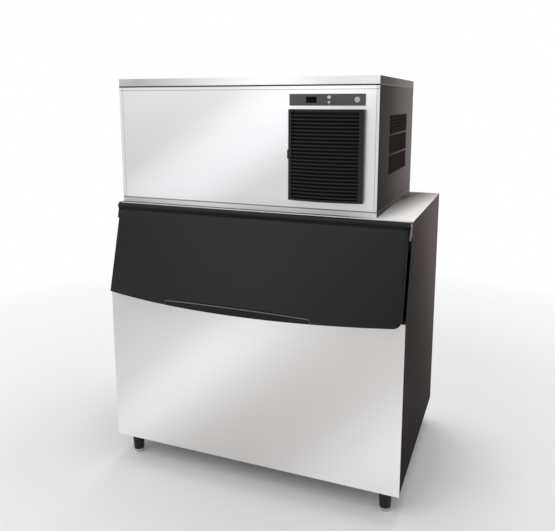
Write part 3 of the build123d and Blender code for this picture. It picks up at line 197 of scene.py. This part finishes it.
# A screw's face from its rim to its recess: shares of its radius and height
SCREW_FACE = ((1.0, 0.0), (1.0, 0.4), (0.8, 0.9), (0.45, 1.0), (0.38, 0.4))

# The nut on the rear, and its gap to the sheet
NUT_SIDES = 6
NUT_H = 0.005
NUT_EDGE = 0.0008
NUT_WALL = 0.006
REAR_GAP = 0.0002
GLAND_LOW, GLAND_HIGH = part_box("power_gland")

# The floor turns into the white background between the near and far distances from the machine
FLOOR_HALF = 14.0
FLOOR_NEAR = 1.5
FLOOR_FAR = 3.2
FLOOR_SPECKLE = 60.0
FLOOR_DARKER = 0.985
FLOOR_ROUGH = 0.8

# Grain: marks per metre along each axis, the depth of the relief, and the pitch of crossed wires
LEVEL_GRAIN = (2.2, 2.2, 420.0)
TOP_GRAIN = (2.2, 420.0, 2.2)
ZINC_GRAIN = (40.0, 40.0, 40.0)
PLAIN_GRAIN = (30.0, 30.0, 700.0)
CLOUD_GRAIN = (1.6, 1.6, 1.6)
GRAIN_RELIEF = 0.0002
WIRE_RELIEF = 0.0004
FILTER_PITCH = 0.0016
FIN_PITCH = 0.002

# Patches on moulded pieces, and the gaps between crossed wires: shares of the colour
PATCH_SCALE = 5.0
PATCH_DARKER = 0.93
PATCH_PALER = 1.07
GAP_DARKER = 0.3

# The distance between two wires of a wave texture with a scale of 1
WAVE_PITCH = 0.314

# How squarely a face looks along a direction when its tone starts, and when it is full
FACING_START = 0.85
FACING_FULL = 0.95


# Node helpers

def new_material(name):
    """An empty node material with its output and main shader."""
    material = bpy.data.materials.new(name)
    material.use_nodes = True
    tree = material.node_tree
    tree.nodes.clear()
    output = tree.nodes.new("ShaderNodeOutputMaterial")
    shader = tree.nodes.new("ShaderNodeBsdfPrincipled")
    tree.links.new(shader.outputs["BSDF"], output.inputs["Surface"])
    return material, tree, shader


def place_input(tree):
    """The place on the object, in metres."""
    return tree.nodes.new("ShaderNodeTexCoord").outputs["Object"]


def stretched(tree, scale):
    """The place on the object, stretched for grain."""
    mapping = tree.nodes.new("ShaderNodeMapping")
    mapping.inputs["Scale"].default_value = scale
    tree.links.new(place_input(tree), mapping.inputs["Vector"])
    return mapping.outputs["Vector"]


def noise(tree, vector, scale, detail, rough):
    """A noise value over a place."""
    node = tree.nodes.new("ShaderNodeTexNoise")
    node.inputs["Scale"].default_value = scale
    node.inputs["Detail"].default_value = detail
    node.inputs["Roughness"].default_value = rough
    tree.links.new(vector, node.inputs["Vector"])
    return node.outputs["Fac"]


def ranged(tree, value, low, high, from_low=0.0, from_high=1.0):
    """A value moved from one range to another."""
    node = tree.nodes.new("ShaderNodeMapRange")
    node.inputs["From Min"].default_value = from_low
    node.inputs["From Max"].default_value = from_high
    node.inputs["To Min"].default_value = low
    node.inputs["To Max"].default_value = high
    tree.links.new(value, node.inputs["Value"])
    return node.outputs["Result"]


def share_between(tree, value, low, high):
    """A value as 0 to 1 between two limits."""
    return ranged(tree, value, 0.0, 1.0, low, high)


def ramp(tree, value, stops):
    """Colours along a value. A stop is (place, colour)."""
    node = tree.nodes.new("ShaderNodeValToRGB")
    node.color_ramp.interpolation = "CARDINAL"
    elements = node.color_ramp.elements
    while len(elements) < len(stops):
        elements.new(0.5)
    for element, (place, colour) in zip(elements, stops):
        element.position = place
        element.color = (*colour, 1.0)
    tree.links.new(value, node.inputs["Fac"])
    return node.outputs["Color"]


def shaded(tree, colour, value, low, high):
    """A colour made darker and lighter by a value."""
    node = tree.nodes.new("ShaderNodeVectorMath")
    node.operation = "SCALE"
    tree.links.new(colour, node.inputs[0])
    tree.links.new(ranged(tree, value, low, high), node.inputs["Scale"])
    return node.outputs["Vector"]


def bump(tree, shader, height, strength, distance):
    """Fine relief from a height."""
    node = tree.nodes.new("ShaderNodeBump")
    node.inputs["Strength"].default_value = strength
    node.inputs["Distance"].default_value = distance
    tree.links.new(height, node.inputs["Height"])
    tree.links.new(node.outputs["Normal"], shader.inputs["Normal"])


def combined(tree, operation, first, second):
    """Two values made into one."""
    node = tree.nodes.new("ShaderNodeMath")
    node.operation = operation
    tree.links.new(first, node.inputs[0])
    tree.links.new(second, node.inputs[1])
    return node.outputs["Value"]


def part_along(tree, vector, direction):
    """The part of a vector along a direction."""
    node = tree.nodes.new("ShaderNodeVectorMath")
    node.operation = "DOT_PRODUCT"
    node.inputs[1].default_value = direction
    tree.links.new(vector, node.inputs[0])
    return node.outputs["Value"]


def along(tree, direction, low, high):
    """How far a place lies along a direction, as 0 to 1 between two distances."""
    return share_between(tree, part_along(tree, place_input(tree), direction), low, high)


def facing(tree, direction):
    """1 where the surface faces along a direction, 0 elsewhere."""
    normal = tree.nodes.new("ShaderNodeTexCoord").outputs["Normal"]
    return share_between(tree, part_along(tree, normal, direction), FACING_START, FACING_FULL)


def mixed(tree, factor, first, second):
    """One colour turned into another by a factor."""
    node = tree.nodes.new("ShaderNodeMix")
    node.data_type = "RGBA"
    tree.links.new(factor, node.inputs["Factor"])
    tree.links.new(first, node.inputs["A"])
    tree.links.new(second, node.inputs["B"])
    return node.outputs["Result"]


def scaled(colour, share):
    """A colour made darker or lighter by a share."""
    return tuple(share * part for part in colour)


# Materials

def toned(tree, tone):
    """The colour of a tone: stops along a direction, between two distances."""
    stops, direction, span = tone
    return ramp(tree, along(tree, direction, *span), stops)


def brushed_steel(name, tone, grain, rough=0.34, metal=0.85, gloss=0.5, tint=1.0, turned_tones=()):
    """Brushed sheet: a soft change of tone, which on the front, side, top and cover sheets is painted
    reflection and shade, and fine brush lines. Each turned tone is a direction and the tone of the faces
    that look that way."""
    material, tree, shader = new_material(name)
    base = toned(tree, tone)
    for direction, other in turned_tones:
        base = mixed(tree, facing(tree, direction), base, toned(tree, other))
    lines = noise(tree, stretched(tree, grain), scale=1.0, detail=4.0, rough=0.65)
    cloud = noise(tree, stretched(tree, CLOUD_GRAIN), scale=1.0, detail=2.0, rough=0.5)
    colour = shaded(tree, base, lines, low=0.965, high=1.035)
    colour = shaded(tree, colour, cloud, low=0.985, high=1.015)
    tree.links.new(colour, shader.inputs["Base Color"])
    roughness = ranged(tree, lines, low=rough - 0.04, high=rough + 0.05)
    tree.links.new(roughness, shader.inputs["Roughness"])
    shader.inputs["Metallic"].default_value = metal
    shader.inputs["Specular IOR Level"].default_value = gloss
    shader.inputs["Specular Tint"].default_value = (tint, tint, tint, 1.0)
    bump(tree, shader, lines, strength=0.06, distance=GRAIN_RELIEF)
    return material


def moulded(name, colour, rough, grain_size=900.0, relief=0.10, metal=0.0, gloss=0.5):
    """Moulded plastic, rubber, paint or bare tube: a fine even grain and slight patches."""
    material, tree, shader = new_material(name)
    grain = noise(tree, place_input(tree), scale=grain_size, detail=2.0, rough=0.6)
    patches = noise(tree, place_input(tree), scale=PATCH_SCALE, detail=3.0, rough=0.5)
    base = ramp(tree, patches, [(0.0, scaled(colour, PATCH_DARKER)), (1.0, scaled(colour, PATCH_PALER))])
    colour = shaded(tree, base, grain, low=0.96, high=1.04)
    tree.links.new(colour, shader.inputs["Base Color"])
    roughness = ranged(tree, patches, low=rough - 0.03, high=rough + 0.04)
    tree.links.new(roughness, shader.inputs["Roughness"])
    shader.inputs["Metallic"].default_value = metal
    shader.inputs["Specular IOR Level"].default_value = gloss
    bump(tree, shader, grain, strength=relief, distance=GRAIN_RELIEF)
    return material


def mesh_cloth(name, colour, pitch):
    """Fine crossed wires, as on a filter or a finned coil."""
    material, tree, shader = new_material(name)
    waves = []
    for direction in ("X", "Z"):
        wave = tree.nodes.new("ShaderNodeTexWave")
        wave.bands_direction = direction
        wave.inputs["Scale"].default_value = WAVE_PITCH / pitch
        tree.links.new(place_input(tree), wave.inputs["Vector"])
        waves.append(wave.outputs["Fac"])
    wires = combined(tree, "MAXIMUM", *waves)
    base = ramp(tree, wires, [(0.35, scaled(colour, GAP_DARKER)), (0.8, colour)])
    tree.links.new(base, shader.inputs["Base Color"])
    tree.links.new(ranged(tree, wires, low=0.8, high=0.5), shader.inputs["Roughness"])
    bump(tree, shader, wires, strength=0.4, distance=WIRE_RELIEF)
    return material


def plain_tone(colour):
    """A tone that is the same everywhere."""
    return [(0.0, colour), (1.0, colour)], RIGHTWARDS, (-1.0, 1.0)


# Tones that paint reflection and shade onto the sheets: stops, their direction, and the distances along it
# where they start and end
BIN_FRONT_REFLECTION_TONE = (
    [(0.0, FRONT_REFLECTION_GREY), (0.085, FRONT_REFLECTION_GREY), (0.246, FRONT_REFLECTION_PALE), (0.36, FRONT_REFLECTION_GLOW),
     (0.50, FRONT_REFLECTION_SOFT), (0.62, FRONT_REFLECTION_WARM), (0.74, FRONT_REFLECTION_SOFT), (0.86, FRONT_REFLECTION_GLOW), (1.0, FRONT_REFLECTION_GLOW)],
    (0.673, 0.0, -0.739), (-0.95, 0.35))
HEAD_FRONT_REFLECTION_TONE = (
    [(0.0, HEAD_REFLECTION_GREY), (0.20, HEAD_REFLECTION_GREY), (0.27, HEAD_REFLECTION_SOFT), (0.35, HEAD_REFLECTION_PALE), (0.47, HEAD_REFLECTION_GLOW),
     (0.57, HEAD_REFLECTION_PALE), (0.67, HEAD_REFLECTION_WARM), (1.0, HEAD_REFLECTION_WARM)],
    (0.565, 0.0, -0.825), (-1.56, -0.70))
BIN_SIDE_TAUPE_REFLECTION_TONE = (
    [(0.0, BIN_SIDE_TAUPE_REFLECTION_DEEP), (0.40, BIN_SIDE_TAUPE_REFLECTION_FRONT), (0.66, BIN_SIDE_TAUPE_REFLECTION_MIDDLE), (0.95, BIN_SIDE_TAUPE_REFLECTION_REAR)],
    (0.0, 0.75, 0.66), (0.0, 1.0))
HEAD_SIDE_TAUPE_REFLECTION_TONE = (
    [(0.0, HEAD_SIDE_TAUPE_REFLECTION_FRONT), (0.40, HEAD_SIDE_TAUPE_REFLECTION_MIDDLE), (1.0, HEAD_SIDE_TAUPE_REFLECTION_REAR)],
    BACKWARDS, (HEAD_FRONT_Y, BACK_Y))
TOP_SHADE_REFLECTION_TONE = (
    [(0.0, TOP_SHADE_REFLECTION_DARK), (0.2, TOP_SHADE_REFLECTION_DARK), (0.64, TOP_REFLECTION_PALE), (0.88, TOP_REFLECTION_GLOW), (1.0, TOP_REFLECTION_GLOW)],
    (0.97, -0.25, 0.0), (0.36, 0.60))
LID_REFLECTION_TONE = (
    [(0.0, LID_REFLECTION_GREY), (0.1, LID_REFLECTION_GREY), (0.60, LID_REFLECTION_GLOW), (0.85, LID_REFLECTION_WARM), (1.0, LID_REFLECTION_WARM)],
    (1.0, 0.0, -0.6), (-1.55, -0.50))
# The front edges of the bin's sides: pale up to the door's lower edge, and painted shade beside the door
STRIP_PALE_AND_SHADE_TONE = (
    [(0.0, STRIP_PALE), (0.495, STRIP_PALE), (0.505, STRIP_PAINTED_SHADE), (1.0, STRIP_PAINTED_SHADE)],
    UPWARDS, (2 * DOOR_LOW_Z - BIN_TOP_Z, BIN_TOP_Z))

# The brushed sheets by name, and what each is made with
STEEL = {
    "bin_front": {"tone": BIN_FRONT_REFLECTION_TONE, "grain": LEVEL_GRAIN},
    "head_front": {"tone": HEAD_FRONT_REFLECTION_TONE, "grain": LEVEL_GRAIN},
    "bin_side": {"tone": BIN_SIDE_TAUPE_REFLECTION_TONE, "grain": LEVEL_GRAIN, "rough": 0.5, "metal": 0.5, "gloss": 0.05,
                 "tint": 0.12, "turned_tones": ((FORWARDS, STRIP_PALE_AND_SHADE_TONE),)},
    "head_side": {"tone": HEAD_SIDE_TAUPE_REFLECTION_TONE, "grain": LEVEL_GRAIN, "rough": 0.5, "metal": 0.5, "gloss": 0.1,
                  "tint": 0.12, "turned_tones": ((FORWARDS, plain_tone(STRIP_PALE)),)},
    "top": {"tone": TOP_SHADE_REFLECTION_TONE, "grain": TOP_GRAIN, "rough": 0.5, "metal": 0.3, "gloss": 0.2, "tint": 0.4,
            "turned_tones": ((FORWARDS, plain_tone(RAIL_PALE)),)},
    "lid": {"tone": LID_REFLECTION_TONE, "grain": LEVEL_GRAIN, "rough": 0.45, "metal": 0.5, "gloss": 0.2, "tint": 0.5,
            "turned_tones": ((RIGHTWARDS, HEAD_SIDE_TAUPE_REFLECTION_TONE), (LEFTWARDS, HEAD_SIDE_TAUPE_REFLECTION_TONE))},
    "zinc": {"tone": plain_tone(ZINC), "grain": ZINC_GRAIN, "rough": 0.45},
    "plain_steel": {"tone": plain_tone(STEEL_PLAIN), "grain": PLAIN_GRAIN, "rough": 0.3, "metal": 1.0},
    "bracket": {"tone": plain_tone(BRACKET_GREY), "grain": ZINC_GRAIN, "rough": 0.5, "metal": 0.6,
                "gloss": 0.2, "tint": 0.5},
}

# The moulded looks by name, and what each is made with
MOULDED = {
    "door": {"colour": DOOR_BLACK, "rough": 0.55, "grain_size": 700.0, "relief": 0.12, "gloss": 0.2},
    "ledge_line": {"colour": LEDGE_HIGHLIGHT_GREY, "rough": 0.45, "grain_size": 700.0, "relief": 0.05,
                   "gloss": 0.3},
    "frame_black": {"colour": FRAME_BLACK, "rough": 0.5, "gloss": 0.3},
    "leg": {"colour": LEG_BLACK, "rough": 0.45, "gloss": 0.25},
    "grille": {"colour": GRILLE_BLACK, "rough": 0.42, "gloss": 0.3},
    "control": {"colour": CONTROL_GREY, "rough": 0.40, "grain_size": 1200.0, "relief": 0.05},
    "display": {"colour": DISPLAY_BLACK, "rough": 0.30, "grain_size": 1500.0, "relief": 0.01,
                "gloss": 0.05},
    "lamp": {"colour": LAMP_PALE, "rough": 0.2, "grain_size": 1500.0, "relief": 0.02},
    "disc": {"colour": DISC_PALE, "rough": 0.3, "grain_size": 1500.0, "relief": 0.02, "metal": 0.8},
    "rubber": {"colour": RUBBER_BLACK, "rough": 0.7},
    "liner": {"colour": LINER_WHITE, "rough": 0.35, "grain_size": 500.0, "relief": 0.05},
    "foam": {"colour": FOAM_CREAM, "rough": 0.9, "grain_size": 300.0, "relief": 0.5},
    "copper": {"colour": COPPER, "rough": 0.28, "grain_size": 900.0, "relief": 0.03, "metal": 1.0},
    "paint_black": {"colour": PAINT_BLACK, "rough": 0.25, "grain_size": 600.0, "relief": 0.03},
    "seam_dark": {"colour": SEAM_SHADE_DARK, "rough": 0.7, "gloss": 0.1},
    "seam_soft": {"colour": SEAM_SHADE_SOFT, "rough": 0.6, "gloss": 0.2},
    "vent_dark": {"colour": VENT_SHADE_DARK, "rough": 0.8, "gloss": 0.03},
}

# The cloths of crossed wires by name, and what each is made with
CLOTHS = {
    "filter": {"colour": GRILLE_BLACK, "pitch": FILTER_PITCH},
    "fins": {"colour": FIN_METAL, "pitch": FIN_PITCH},
}


def make_materials():
    """Every material by name."""
    materials = {}
    for make, looks in ((brushed_steel, STEEL), (moulded, MOULDED), (mesh_cloth, CLOTHS)):
        for name, look in looks.items():
            materials[name] = make(name, **look)
    return materials


# Each material's CAD nodes
NODE_MATERIALS = {
    "bin_front": ["bin_front_panel"],
    "head_front": ["head_front_panel"],
    "bin_side": ["bin_left_panel", "bin_right_panel"],
    "head_side": ["head_left_panel", "head_right_panel"],
    "top": ["bin_top_panel"],
    "lid": ["head_top_cover", "head_base_frame"],
    "zinc": ["bin_back_panel", "bin_base", "head_rear_panel", "partition_wall", "control_box",
             "fan_shroud", "fan_motor_bracket"],
    "plain_steel": ["door_hinge_pins", "evaporator", "rear_screws",
                    "foot_front_left", "foot_front_right", "foot_rear_left", "foot_rear_right"],
    "bracket": ["door_hinge_brackets"],
    "door": ["door_outer_shell", "door_hinge_rail"],
    "frame_black": ["opening_frame", "power_gland"],
    "leg": ["legs"],
    "grille": ["louvre_grille"],
    "filter": ["air_filter"],
    "control": ["control_panel"],
    "display": ["display_window"],
    "lamp": ["status_lamps"],
    "disc": ["round_disc"],
    "rubber": ["door_gasket", "compressor_grommets"],
    "liner": ["bin_liner", "door_inner_panel", "water_curtain", "water_spreader", "water_sump",
              "ice_guide", "evaporator_frame", "float_stem", "float_ring", "water_inlet_valve",
              "drain_outlet"],
    "foam": ["bin_insulation", "door_core"],
    "copper": ["discharge_line", "suction_line", "filter_drier"],
    "fins": ["condenser_coil", "fan_blades"],
    "paint_black": ["compressor", "liquid_receiver", "fan_motor", "water_pump"],
}


def dress_nodes(materials):
    """Gives each CAD node its material."""
    for name, nodes in NODE_MATERIALS.items():
        for node in nodes:
            for slot in NODES[node].material_slots:
                slot.material = materials[name]


# Mesh pieces

def new_piece(name, build, material, body="machine"):
    """A mesh piece, made by a function that fills an empty shape, riding on a body."""
    shape = bmesh.new()
    build(shape)
    bmesh.ops.recalc_face_normals(shape, faces=shape.faces)
    mesh = bpy.data.meshes.new(name)
    shape.to_mesh(mesh)
    shape.free()
    mesh.materials.append(material)
    piece = bpy.data.objects.new(name, mesh)
    bpy.context.collection.objects.link(piece)
    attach(piece, body)


def add_bar(shape, low, high, edge):
    """A bar between two opposite corners, with its edges rounded."""
    verts = bmesh.ops.create_cube(shape, size=1.0)["verts"]
    middle = (Vector(low) + Vector(high)) / 2
    size = Vector(high) - Vector(low)
    for vert in verts:
        vert.co = middle + Vector(part * whole for part, whole in zip(vert.co, size))
    edges = {line for vert in verts for line in vert.link_edges}
    bmesh.ops.bevel(shape, geom=list(edges), offset=edge, segments=2, affect="EDGES")


def angles_round(sides):
    """The angles of a circle's points."""
    return [2 * math.pi * index / sides for index in range(sides)]


def join_rings(shape, rings, closed=False):
    """Faces between each ring of points and the next. The first and last rings are filled, or
    joined to each other when closed."""
    pairs = list(zip(rings, rings[1:]))
    if closed:
        pairs.append((rings[-1], rings[0]))
    for first, second in pairs:
        for index in range(len(first)):
            after = (index + 1) % len(first)
            shape.faces.new((first[index], first[after], second[after], second[index]))
    if not closed:
        shape.faces.new(rings[0])
        shape.faces.new(rings[-1])


def add_turned(shape, profile, start, axis, sides, closed=False):
    """A turned body from (radius, distance) points along an axis. A closed profile leaves a hole."""
    turn = UP.rotation_difference(Vector(axis)).to_matrix()
    rings = []
    for radius, distance in profile:
        points = [Vector((radius * math.cos(angle), radius * math.sin(angle), distance))
                  for angle in angles_round(sides)]
        rings.append([shape.verts.new(Vector(start) + turn @ point) for point in points])
    join_rings(shape, rings, closed)


def add_pulled(shape, outline, low_y, high_y):
    """A closed outline of (x, z) points, pulled along the depth."""
    join_rings(shape, [[shape.verts.new((x, y, z)) for x, z in outline] for y in (low_y, high_y)])


def add_tube(shape, points, radius, sides):
    """A thin round bead through points that lie nearly in an upright plane."""
    rings = []
    for index, point in enumerate(points):
        before = points[max(index - 1, 0)]
        after = points[min(index + 1, len(points) - 1)]
        upright = (after - before).cross(Vector(BACKWARDS)).normalized()
        outwards = upright.cross(after - before).normalized()
        spokes = [math.cos(angle) * upright + math.sin(angle) * outwards
                  for angle in angles_round(sides)]
        rings.append([shape.verts.new(point + radius * spoke) for spoke in spokes])
    join_rings(shape, rings)


def add_screw(shape, place, axis):
    """A domed screw head with a round recess."""
    profile = [(out * SCREW_R, up * SCREW_H) for out, up in SCREW_FACE]
    add_turned(shape, profile, place, axis, SCREW_SIDES)


def add_nut(shape, x, z, bore_r):
    """A nut on the rear sheet, round a fitting of the bore's radius."""
    inner = bore_r / math.cos(math.pi / NUT_SIDES)
    outer = inner + NUT_WALL
    profile = [(inner, 0.0), (outer, 0.0), (outer, NUT_H - NUT_EDGE), (outer - NUT_EDGE, NUT_H),
               (inner, NUT_H)]
    add_turned(shape, profile, (x, BACK_Y + REAR_GAP, z), BACKWARDS, NUT_SIDES, closed=True)


def add_front_seam(shape, low_z, high_z):
    """A level seam over the full width of the head's front."""
    add_bar(shape, (HEAD_LEFT_X, HEAD_FRONT_Y - SEAM_PROUD, low_z),
            (HEAD_RIGHT_X, HEAD_FRONT_Y + SEAM_PROUD, high_z), SEAM_EDGE)


def lid_gap_shade(shape):
    """A dark bar that is painted shade in the gap under the cover's front edge."""
    add_front_seam(shape, LID_LOW_Z - LID_SEAM_H, LID_LOW_Z)


def soft_seam_shades(shape):
    """Grey bars that are painted shade in the fine folds near the top and at the foot of the head's front,
    and in the one under the cover's right edge."""
    folds = ((LID_LOW_Z - PANEL_SEAM_DROP, PANEL_SEAM_H), (HEAD_BASE_Z, BASE_SEAM_H))
    for middle_z, height in folds:
        add_front_seam(shape, middle_z - height / 2, middle_z + height / 2)
    add_bar(shape, (HEAD_RIGHT_X - SEAM_PROUD, HEAD_FRONT_Y, LID_LOW_Z - PANEL_SEAM_H),
            (HEAD_RIGHT_X + SEAM_PROUD, BACK_Y, LID_LOW_Z), SEAM_EDGE)


def ledge_line(shape):
    """A pale bead that is a painted highlight along the arched top of the ledge on the door's lower edge,
    and down its two ends."""
    half = LEDGE_HALF - LINE_IN
    drop = LEDGE_CORNER - LINE_IN
    points = [(-half, DOOR_LOW_Z + LINE_R)]
    for step in range(LINE_STEPS + 1):
        x = -half * math.cos(math.pi * step / LINE_STEPS)
        arch = DOOR_LOW_Z + LEDGE_H - LINE_IN - LEDGE_ARCH_R + math.sqrt(LEDGE_ARCH_R ** 2 - x ** 2)
        # How far the point lies past the start of its rounded corner
        past = max(0.0, abs(x) - half + drop)
        points.append((x, arch - drop + math.sqrt(drop ** 2 - past ** 2)))
    points.append((half, DOOR_LOW_Z + LINE_R))
    apex = DOOR_LOW[1] + DOOR_BOW_R + LINE_IN
    add_tube(shape, [Vector((x, apex - math.sqrt(DOOR_BOW_R ** 2 - x ** 2), z)) for x, z in points],
             LINE_R, LINE_SIDES)


def vent_hoods(shape):
    """A pressed hood over each vent slot, in a dark colour that is painted shade. Every hood but a bank's
    first starts at the slot above it, so that a bank is dark all over with painted shade."""
    front = HEAD_FRONT_Y + VENT_FRONT
    pitch = (VENT_BANK_H + VENT_SLOT_H) / VENT_SLOT_COUNT
    for bank in range(VENT_BANK_COUNT):
        bank_top = HEAD_HIGH[2] - VENT_DROP - bank * (VENT_BANK_H + VENT_BAR)
        for slot in range(VENT_SLOT_COUNT):
            slot_top = bank_top - slot * pitch
            top = slot_top + (HOOD_OVER if slot == 0 else pitch - VENT_SLOT_H)
            height = top - (slot_top + HOOD_OVER - VENT_SLOT_H)
            outline = [(HEAD_RIGHT_X + out * HOOD_OUT - inwards, top - down * height)
                       for out, inwards, down in HOOD_SECTION]
            add_pulled(shape, outline, front, front + VENT_W)


def side_screws(shape):
    """Screws near the rear edge of each side sheet, sunk where the sheet is the widest part."""
    bin_low, bin_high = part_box("bin_right_panel")
    sunk_x = bin_high[0] - SCREW_H
    y = BACK_Y - SCREW_IN
    for side, head_x in ((LEFTWARDS, -sunk_x), (RIGHTWARDS, HEAD_RIGHT_X)):
        for z in (HEAD_BASE_Z + SCREW_IN, LID_LOW_Z - 2 * SCREW_IN):
            add_screw(shape, (head_x, y, z), side)
        for z in (bin_low[2] + SCREW_IN, (bin_low[2] + bin_high[2]) / 2, bin_high[2] - 2 * SCREW_IN):
            add_screw(shape, (side[0] * sunk_x, y, z), side)


def gland_nut(shape):
    """The nut of the power gland."""
    bore_r = (GLAND_HIGH[0] - GLAND_LOW[0]) / 2
    add_nut(shape, (GLAND_LOW[0] + GLAND_HIGH[0]) / 2, (GLAND_LOW[2] + GLAND_HIGH[2]) / 2, bore_r)


def make_pieces(materials):
    """What the solids leave out: seams of painted shade, a painted highlight line on the door's ledge,
    vent hoods dark with painted shade, screws and a nut.
    """
    new_piece("lid_gap_shade", lid_gap_shade, materials["seam_dark"])
    new_piece("soft_seam_shades", soft_seam_shades, materials["seam_soft"])
    new_piece("ledge_line", ledge_line, materials["ledge_line"], "door")
    new_piece("vent_hoods", vent_hoods, materials["vent_dark"])
    new_piece("side_screws", side_screws, materials["plain_steel"])
    new_piece("gland_nut", gland_nut, materials["frame_black"])


# Camera, light and floor

def make_camera():
    """The camera at the photograph's viewing angle."""
    data = bpy.data.cameras.new("camera")
    data.sensor_width = SENSOR_W
    data.lens = FOCAL_PX * SENSOR_W / PICTURE_W
    data.shift_y = CAMERA_SHIFT_Y
    data.clip_end = CAMERA_REACH
    camera = bpy.data.objects.new("camera", data)
    camera.location = CAMERA_PLACE
    camera.rotation_euler = (math.radians(90.0 - CAMERA_DOWN), 0.0, math.radians(CAMERA_TURN))
    bpy.context.collection.objects.link(camera)
    bpy.context.scene.camera = camera


def make_lamps():
    """Large soft square lamps: a main one from the front left, and one over the rear that throws the
    shadow forward."""
    for name, place, size, power in LAMPS:
        data = bpy.data.lights.new(name, "AREA")
        data.shape = "SQUARE"
        data.size = size
        data.energy = power
        lamp = bpy.data.objects.new(name, data)
        lamp.location = place
        lamp.rotation_euler = (Vector(LAMP_TARGET) - Vector(place)).to_track_quat("-Z", "Y").to_euler()
        bpy.context.collection.objects.link(lamp)


def make_world():
    """A white background for the camera and for reflections, and a soft grey light."""
    world = bpy.data.worlds.new("world")
    bpy.context.scene.world = world
    world.use_nodes = True
    tree = world.node_tree
    tree.nodes.clear()
    output = tree.nodes.new("ShaderNodeOutputWorld")
    seen = tree.nodes.new("ShaderNodeBackground")
    seen.inputs["Color"].default_value = WORLD_WHITE
    soft = tree.nodes.new("ShaderNodeBackground")
    soft.inputs["Color"].default_value = WORLD_GREY
    rays = tree.nodes.new("ShaderNodeLightPath").outputs
    clear = rays["Is Camera Ray"]
    for name in ("Is Glossy Ray", "Is Transmission Ray"):
        clear = combined(tree, "MAXIMUM", clear, rays[name])
    mix = tree.nodes.new("ShaderNodeMixShader")
    tree.links.new(clear, mix.inputs["Fac"])
    tree.links.new(soft.outputs["Background"], mix.inputs[1])
    tree.links.new(seen.outputs["Background"], mix.inputs[2])
    tree.links.new(mix.outputs["Shader"], output.inputs["Surface"])


def floor_material():
    """A pale floor whose colour turns into the background's white further away."""
    material, tree, shader = new_material("floor")
    speckle = noise(tree, place_input(tree), scale=FLOOR_SPECKLE, detail=3.0, rough=0.5)
    base = ramp(tree, speckle, [(0.0, scaled(FLOOR_PALE, FLOOR_DARKER)), (1.0, FLOOR_PALE)])
    tree.links.new(base, shader.inputs["Base Color"])
    shader.inputs["Roughness"].default_value = FLOOR_ROUGH
    length = tree.nodes.new("ShaderNodeVectorMath")
    length.operation = "LENGTH"
    tree.links.new(place_input(tree), length.inputs[0])
    far = share_between(tree, length.outputs["Value"], FLOOR_NEAR, FLOOR_FAR)
    rays = tree.nodes.new("ShaderNodeLightPath").outputs
    white = tree.nodes.new("ShaderNodeEmission")
    mix = tree.nodes.new("ShaderNodeMixShader")
    tree.links.new(combined(tree, "MULTIPLY", far, rays["Is Camera Ray"]), mix.inputs["Fac"])
    tree.links.new(shader.outputs["BSDF"], mix.inputs[1])
    tree.links.new(white.outputs["Emission"], mix.inputs[2])
    tree.links.new(mix.outputs["Shader"], tree.get_output_node("ALL").inputs["Surface"])
    return material


def make_floor():
    """The floor that takes the shadow."""
    mesh = bpy.data.meshes.new("floor")
    half = FLOOR_HALF
    corners = [(-half, -half, 0.0), (half, -half, 0.0), (half, half, 0.0), (-half, half, 0.0)]
    mesh.from_pydata(corners, [], [(0, 1, 2, 3)])
    mesh.materials.append(floor_material())
    floor = bpy.data.objects.new("floor", mesh)
    bpy.context.collection.objects.link(floor)


def main():
    """Dresses the frame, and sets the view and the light."""
    bpy.context.scene.view_settings.view_transform = "Standard"
    materials = make_materials()
    dress_nodes(materials)
    make_pieces(materials)
    make_camera()
    make_world()
    make_floor()
    make_lamps()


main()
